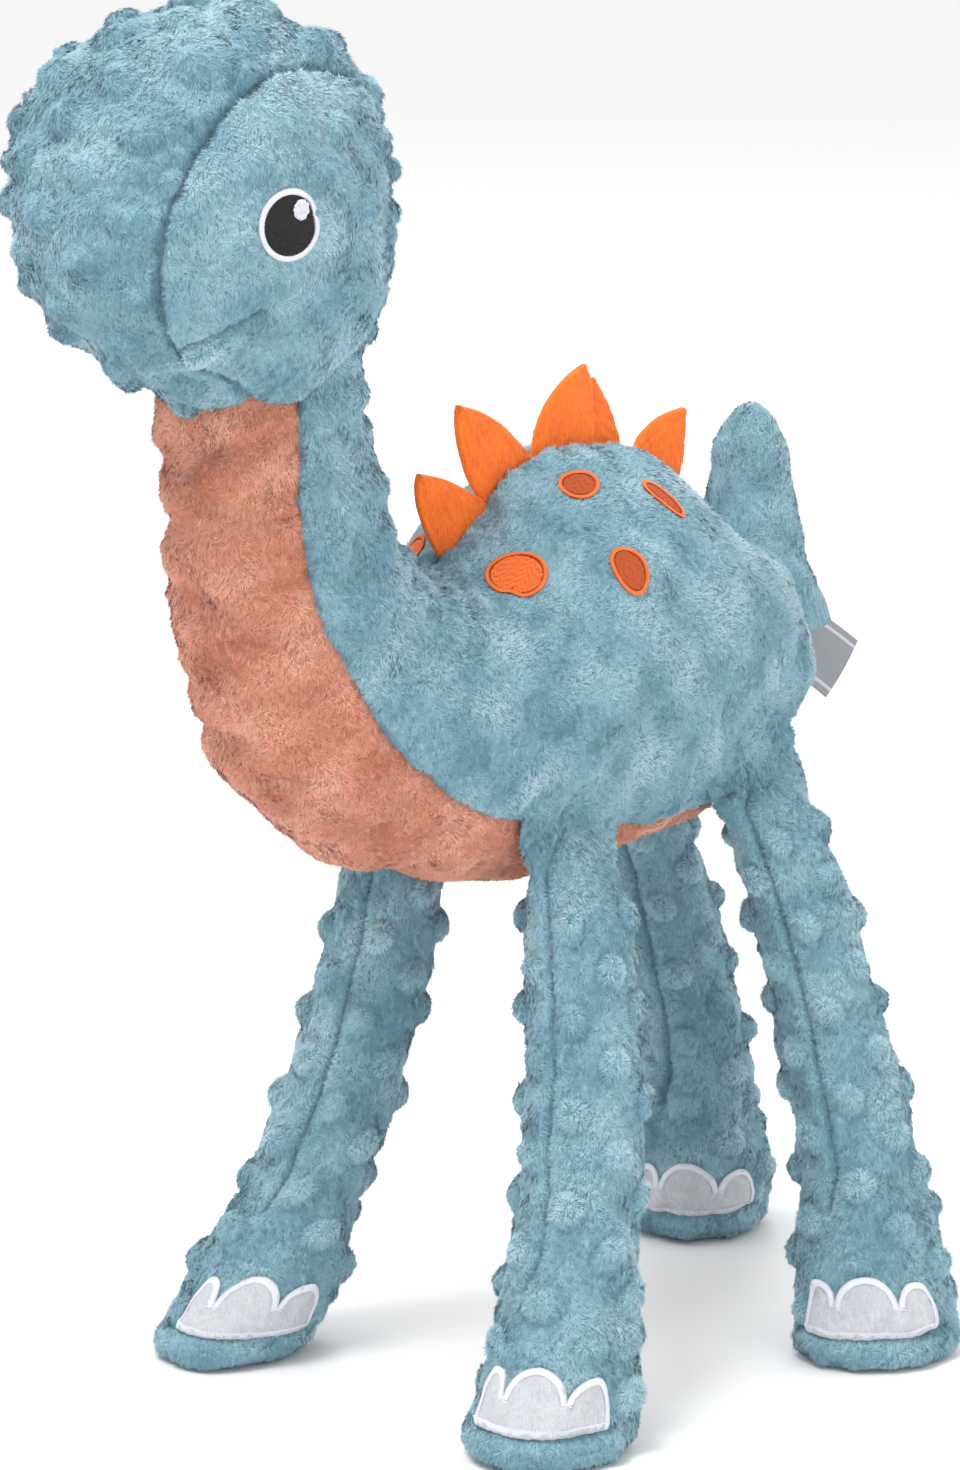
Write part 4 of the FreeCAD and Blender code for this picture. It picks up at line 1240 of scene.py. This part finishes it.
for number, (name, place) in enumerate(legs.items()):
    grid, smooth, paintedLight, fromToe, thin = formLeg(name, place)
    normals = outwardNormals(grid)
    keep = thin * (~patchCover(name, place, grid, fromToe)) * (grid[..., 2] > 1.2)
    parts = (grid, smooth, normals, paintedLight, keep)
    if (gridNormals(grid) * normals).sum() < 0:
        grid, smooth, normals, paintedLight, keep = (part[::-1] for part in parts)
    sides, fans = bagFaces(*grid.shape[:2])
    points = np.concatenate([grid.reshape(-1, 3), grid[:1].mean(1), grid[-1:].mean(1)])
    skin = meshPiece(name + "_sleeve", points, [sides, fans], bluePlush)
    nap = np.array((0, 0, -1)) + 1.8 * (normals - smooth)
    tufts = growPile(
        name + "_pile", grid, nap, blueFibre, closed=True, keep=keep, paintedLight=paintedLight, seed=30 + number,
    )
    for part in (skin, tufts):
        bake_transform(part)
    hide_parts(name + "_leg_top", name + "_leg_cover", name + "_leg_stuffing")
    patch, stitches = toePatch(name, place, grid)
    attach(patch, name + "_leg")
    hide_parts(name + "_toe_patch")
    angles = np.arange(64) * 2 * np.pi / 64
    rows = np.array([
        [
            (
                place["foot"][0] + leg["soleWide"] * share * math.sin(turn),
                place["foot"][1] - leg["soleLong"] * share * math.cos(turn),
                z,
            )
            for turn in angles
        ]
        for share, z in ((0.5, 0), (0.93, 0), (0.99, 0.35), (1.0, 0.9), (0.5, 1.0))
    ])
    if (gridNormals(rows)[3] * (rows[3] - rows[3].mean(0))).sum() < 0:
        rows = rows[::-1]
    sides, fans = bagFaces(5, 64)
    points = np.concatenate([rows.reshape(-1, 3), rows[:1].mean(1), rows[-1:].mean(1)])
    sole = meshPiece(name + "_foot_sole", points, [sides, fans], bluePlush)
    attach(sole, name + "_leg")
    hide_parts(name + "_sole")
    print(name, len(skin.data.polygons), len(tufts.data.polygons))


# felt spikes in the back seam: each leaf lies between a front edge and a rear edge
leaf = dict(half=1.1, rows=56, columns=40)
leaves = dict(
    spike_1=[dict(
        front=(
            (-22.5, 258), (-25.5, 262), (-30.2, 267.3), (-34.8, 274.6),
            (-38, 282.8), (-38.9, 289), (-38.4, 292.6),
        ),
        rear=((-7, 275), (-9.3, 280.3), (-18.5, 285.8), (-27.7, 289.9), (-38.1, 292.7)),
        lean=0.3, curl=0.8,
    )],
    spike_2=[dict(
        front=(
            (-6.5, 277), (-9.3, 279.7), (-13.1, 283.3), (-17.3, 289.3),
            (-20.6, 297.8), (-22.3, 305.7), (-22.2, 312),
        ),
        rear=((10, 289), (9.3, 293.2), (3.4, 298.9), (-2.6, 303.9), (-11.8, 308.9), (-21.6, 312.1)),
        lean=0.3, curl=0.8,
    )],
    spike_3=[dict(
        front=(
            (10.5, 289), (10.4, 293), (11.9, 300.4), (15.7, 307.5),
            (21.3, 313.2), (27.3, 317.3), (31.6, 319.2),
        ),
        rear=((36.5, 289), (36.9, 297.7), (36.4, 307.3), (35, 314.5), (32.2, 319.2)),
        lean=0.3, curl=0.8,
    ),
    dict(
        front=((30, 289), (31.5, 297), (34, 306), (37.2, 314)),
        rear=((51.8, 287), (51, 291), (48.6, 298), (44.6, 306), (38.6, 314.2)),
        lean=-1.9, curl=0.3,
    )],
    spike_4=[dict(
        front=((53, 287), (54.4, 290.4), (57.9, 294.6), (63.2, 298), (68.9, 299.9), (75.4, 301)),
        rear=((71.5, 272.5), (73.4, 276.5), (76, 283.1), (76.6, 290.2), (76.4, 300.6)),
        lean=0.3, curl=0.8,
    )],
)


def slab(front, rear, half, rows, columns, lean, curl, seed, fuzz=0.12):
    # two faces between two edges, joined all round, with a rounded rim; X is the thickness
    share = (1 - np.cos(np.linspace(0, np.pi, rows))) / 2
    front = resample(np.array(front, float), share * (len(front) - 1))
    rear = resample(np.array(rear, float), share * (len(rear) - 1))
    across = ((1 - np.cos(np.linspace(0, np.pi, columns))) / 2)[None, :, None]
    flat = front[:, None] * (1 - across) + rear[:, None] * across
    rim = np.minimum(across[..., 0], 1 - across[..., 0])
    width = np.linalg.norm(front - rear, axis=1)[:, None]
    gap = np.minimum(rim * width, (1 - share[:, None]) * 30)
    thick = half * np.sqrt(np.clip(gap / half, 0, 1) * (2 - np.clip(gap / half, 0, 1)))
    bend = lean + curl * share[:, None] ** 2 + 0.8 * np.sin(across[..., 0] * np.pi) * share[:, None]
    shell = []
    for way in (1, -1):
        points = np.concatenate([(bend + way * thick)[..., None], flat], -1)
        points[..., 0] += way * fuzz * ripple(points, 2.2, seed) * (gap > 0.1)
        shell.append(points)
    return shell


def slabFaces(rows, columns):
    plate = quads(rows, columns, False)
    count = rows * columns
    ring = np.concatenate([
        np.arange(columns), np.arange(1, rows) * columns + columns - 1,
        (rows - 1) * columns + np.arange(columns - 2, -1, -1), np.arange(rows - 2, 0, -1) * columns,
    ])
    after = np.roll(ring, -1)
    return plate, plate[:, ::-1] + count, np.stack([ring, ring + count, after + count, after], 1)


def slabPiece(name, slabs, material):
    points, faces, start = [], [], 0
    for shell in slabs:
        rows, columns = shell[0].shape[:2]
        plate, back, edge = slabFaces(rows, columns)
        if gridNormals(shell[0], False)[rows // 2, columns // 2, 0] < 0:
            plate, back, edge = plate[:, ::-1], back[:, ::-1], edge[:, ::-1]
        faces += [np.concatenate([plate, back, edge]) + start]
        points += [part.reshape(-1, 3) for part in shell]
        start += 2 * rows * columns
    return meshPiece(name, np.concatenate(points), np.concatenate(faces), material)


for seed, (name, shapes) in enumerate(leaves.items(), 90):
    shells = [
        slab(shape["front"], shape["rear"], leaf["half"], leaf["rows"], leaf["columns"],
             shape["lean"], shape["curl"], seed)
        for shape in shapes
    ]
    spike = slabPiece(name + "_felt", shells, orangeFelt)
    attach(spike, "torso")
    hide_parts(name)
print("spikes cut")


# side label: a folded ribbon in the rump seam, with a plain woven border
ribbon = dict(
    front=((131, 232), (137.5, 228.4), (149, 221.4), (160.5, 214)),
    rear=((122.5, 211.8), (128.9, 207.9), (137.2, 202.5), (145.6, 196.9)),
    half=0.5, rows=40, columns=30, curl=-1.5, fuzz=0.0,
)


def ribbonCloth():
    material, shader = principled("ribbonCloth", (0.26, 0.27, 0.29), 0.6, 0.15)
    nodes, links = material.node_tree.nodes, material.node_tree.links
    across = nodes.new("ShaderNodeAttribute")
    across.attribute_name = "across"
    weave = nodes.new("ShaderNodeTexWave")
    weave.wave_type, weave.bands_direction = "BANDS", "DIAGONAL"
    weave.inputs["Scale"].default_value = 900
    weave.inputs["Distortion"].default_value = 0.4
    where = nodes.new("ShaderNodeTexCoord")
    ramp = nodes.new("ShaderNodeValToRGB")
    ramp.color_ramp.interpolation = "CONSTANT"
    grey, pale = (0.25, 0.26, 0.28, 1), (0.5, 0.51, 0.54, 1)
    ramp.color_ramp.elements[0].color = grey
    ramp.color_ramp.elements[1].position, ramp.color_ramp.elements[1].color = 0.1, pale
    for position, colour in ((0.15, grey), (0.85, pale), (0.9, grey)):
        ramp.color_ramp.elements.new(position).color = colour
    relief = nodes.new("ShaderNodeBump")
    relief.inputs["Strength"].default_value = 0.4
    relief.inputs["Distance"].default_value = 0.0002
    links.new(across.outputs["Fac"], ramp.inputs["Fac"])
    links.new(ramp.outputs["Color"], shader.inputs["Base Color"])
    links.new(where.outputs["Object"], weave.inputs["Vector"])
    links.new(weave.outputs["Fac"], relief.inputs["Height"])
    links.new(relief.outputs["Normal"], shader.inputs["Normal"])
    return material


shell = slab(
    ribbon["front"], ribbon["rear"], ribbon["half"], ribbon["rows"], ribbon["columns"],
    0, ribbon["curl"], 99, ribbon["fuzz"],
)
label = slabPiece("side_ribbon", [shell], ribbonCloth())
mark = label.data.attributes.new("across", "FLOAT", "POINT")
spread = (1 - np.cos(np.linspace(0, np.pi, ribbon["columns"]))) / 2
mark.data.foreach_set("value", np.tile(spread, ribbon["rows"] * 2).astype(np.float32))
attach(label, "torso")
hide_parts("side_label")
print("label sewn")
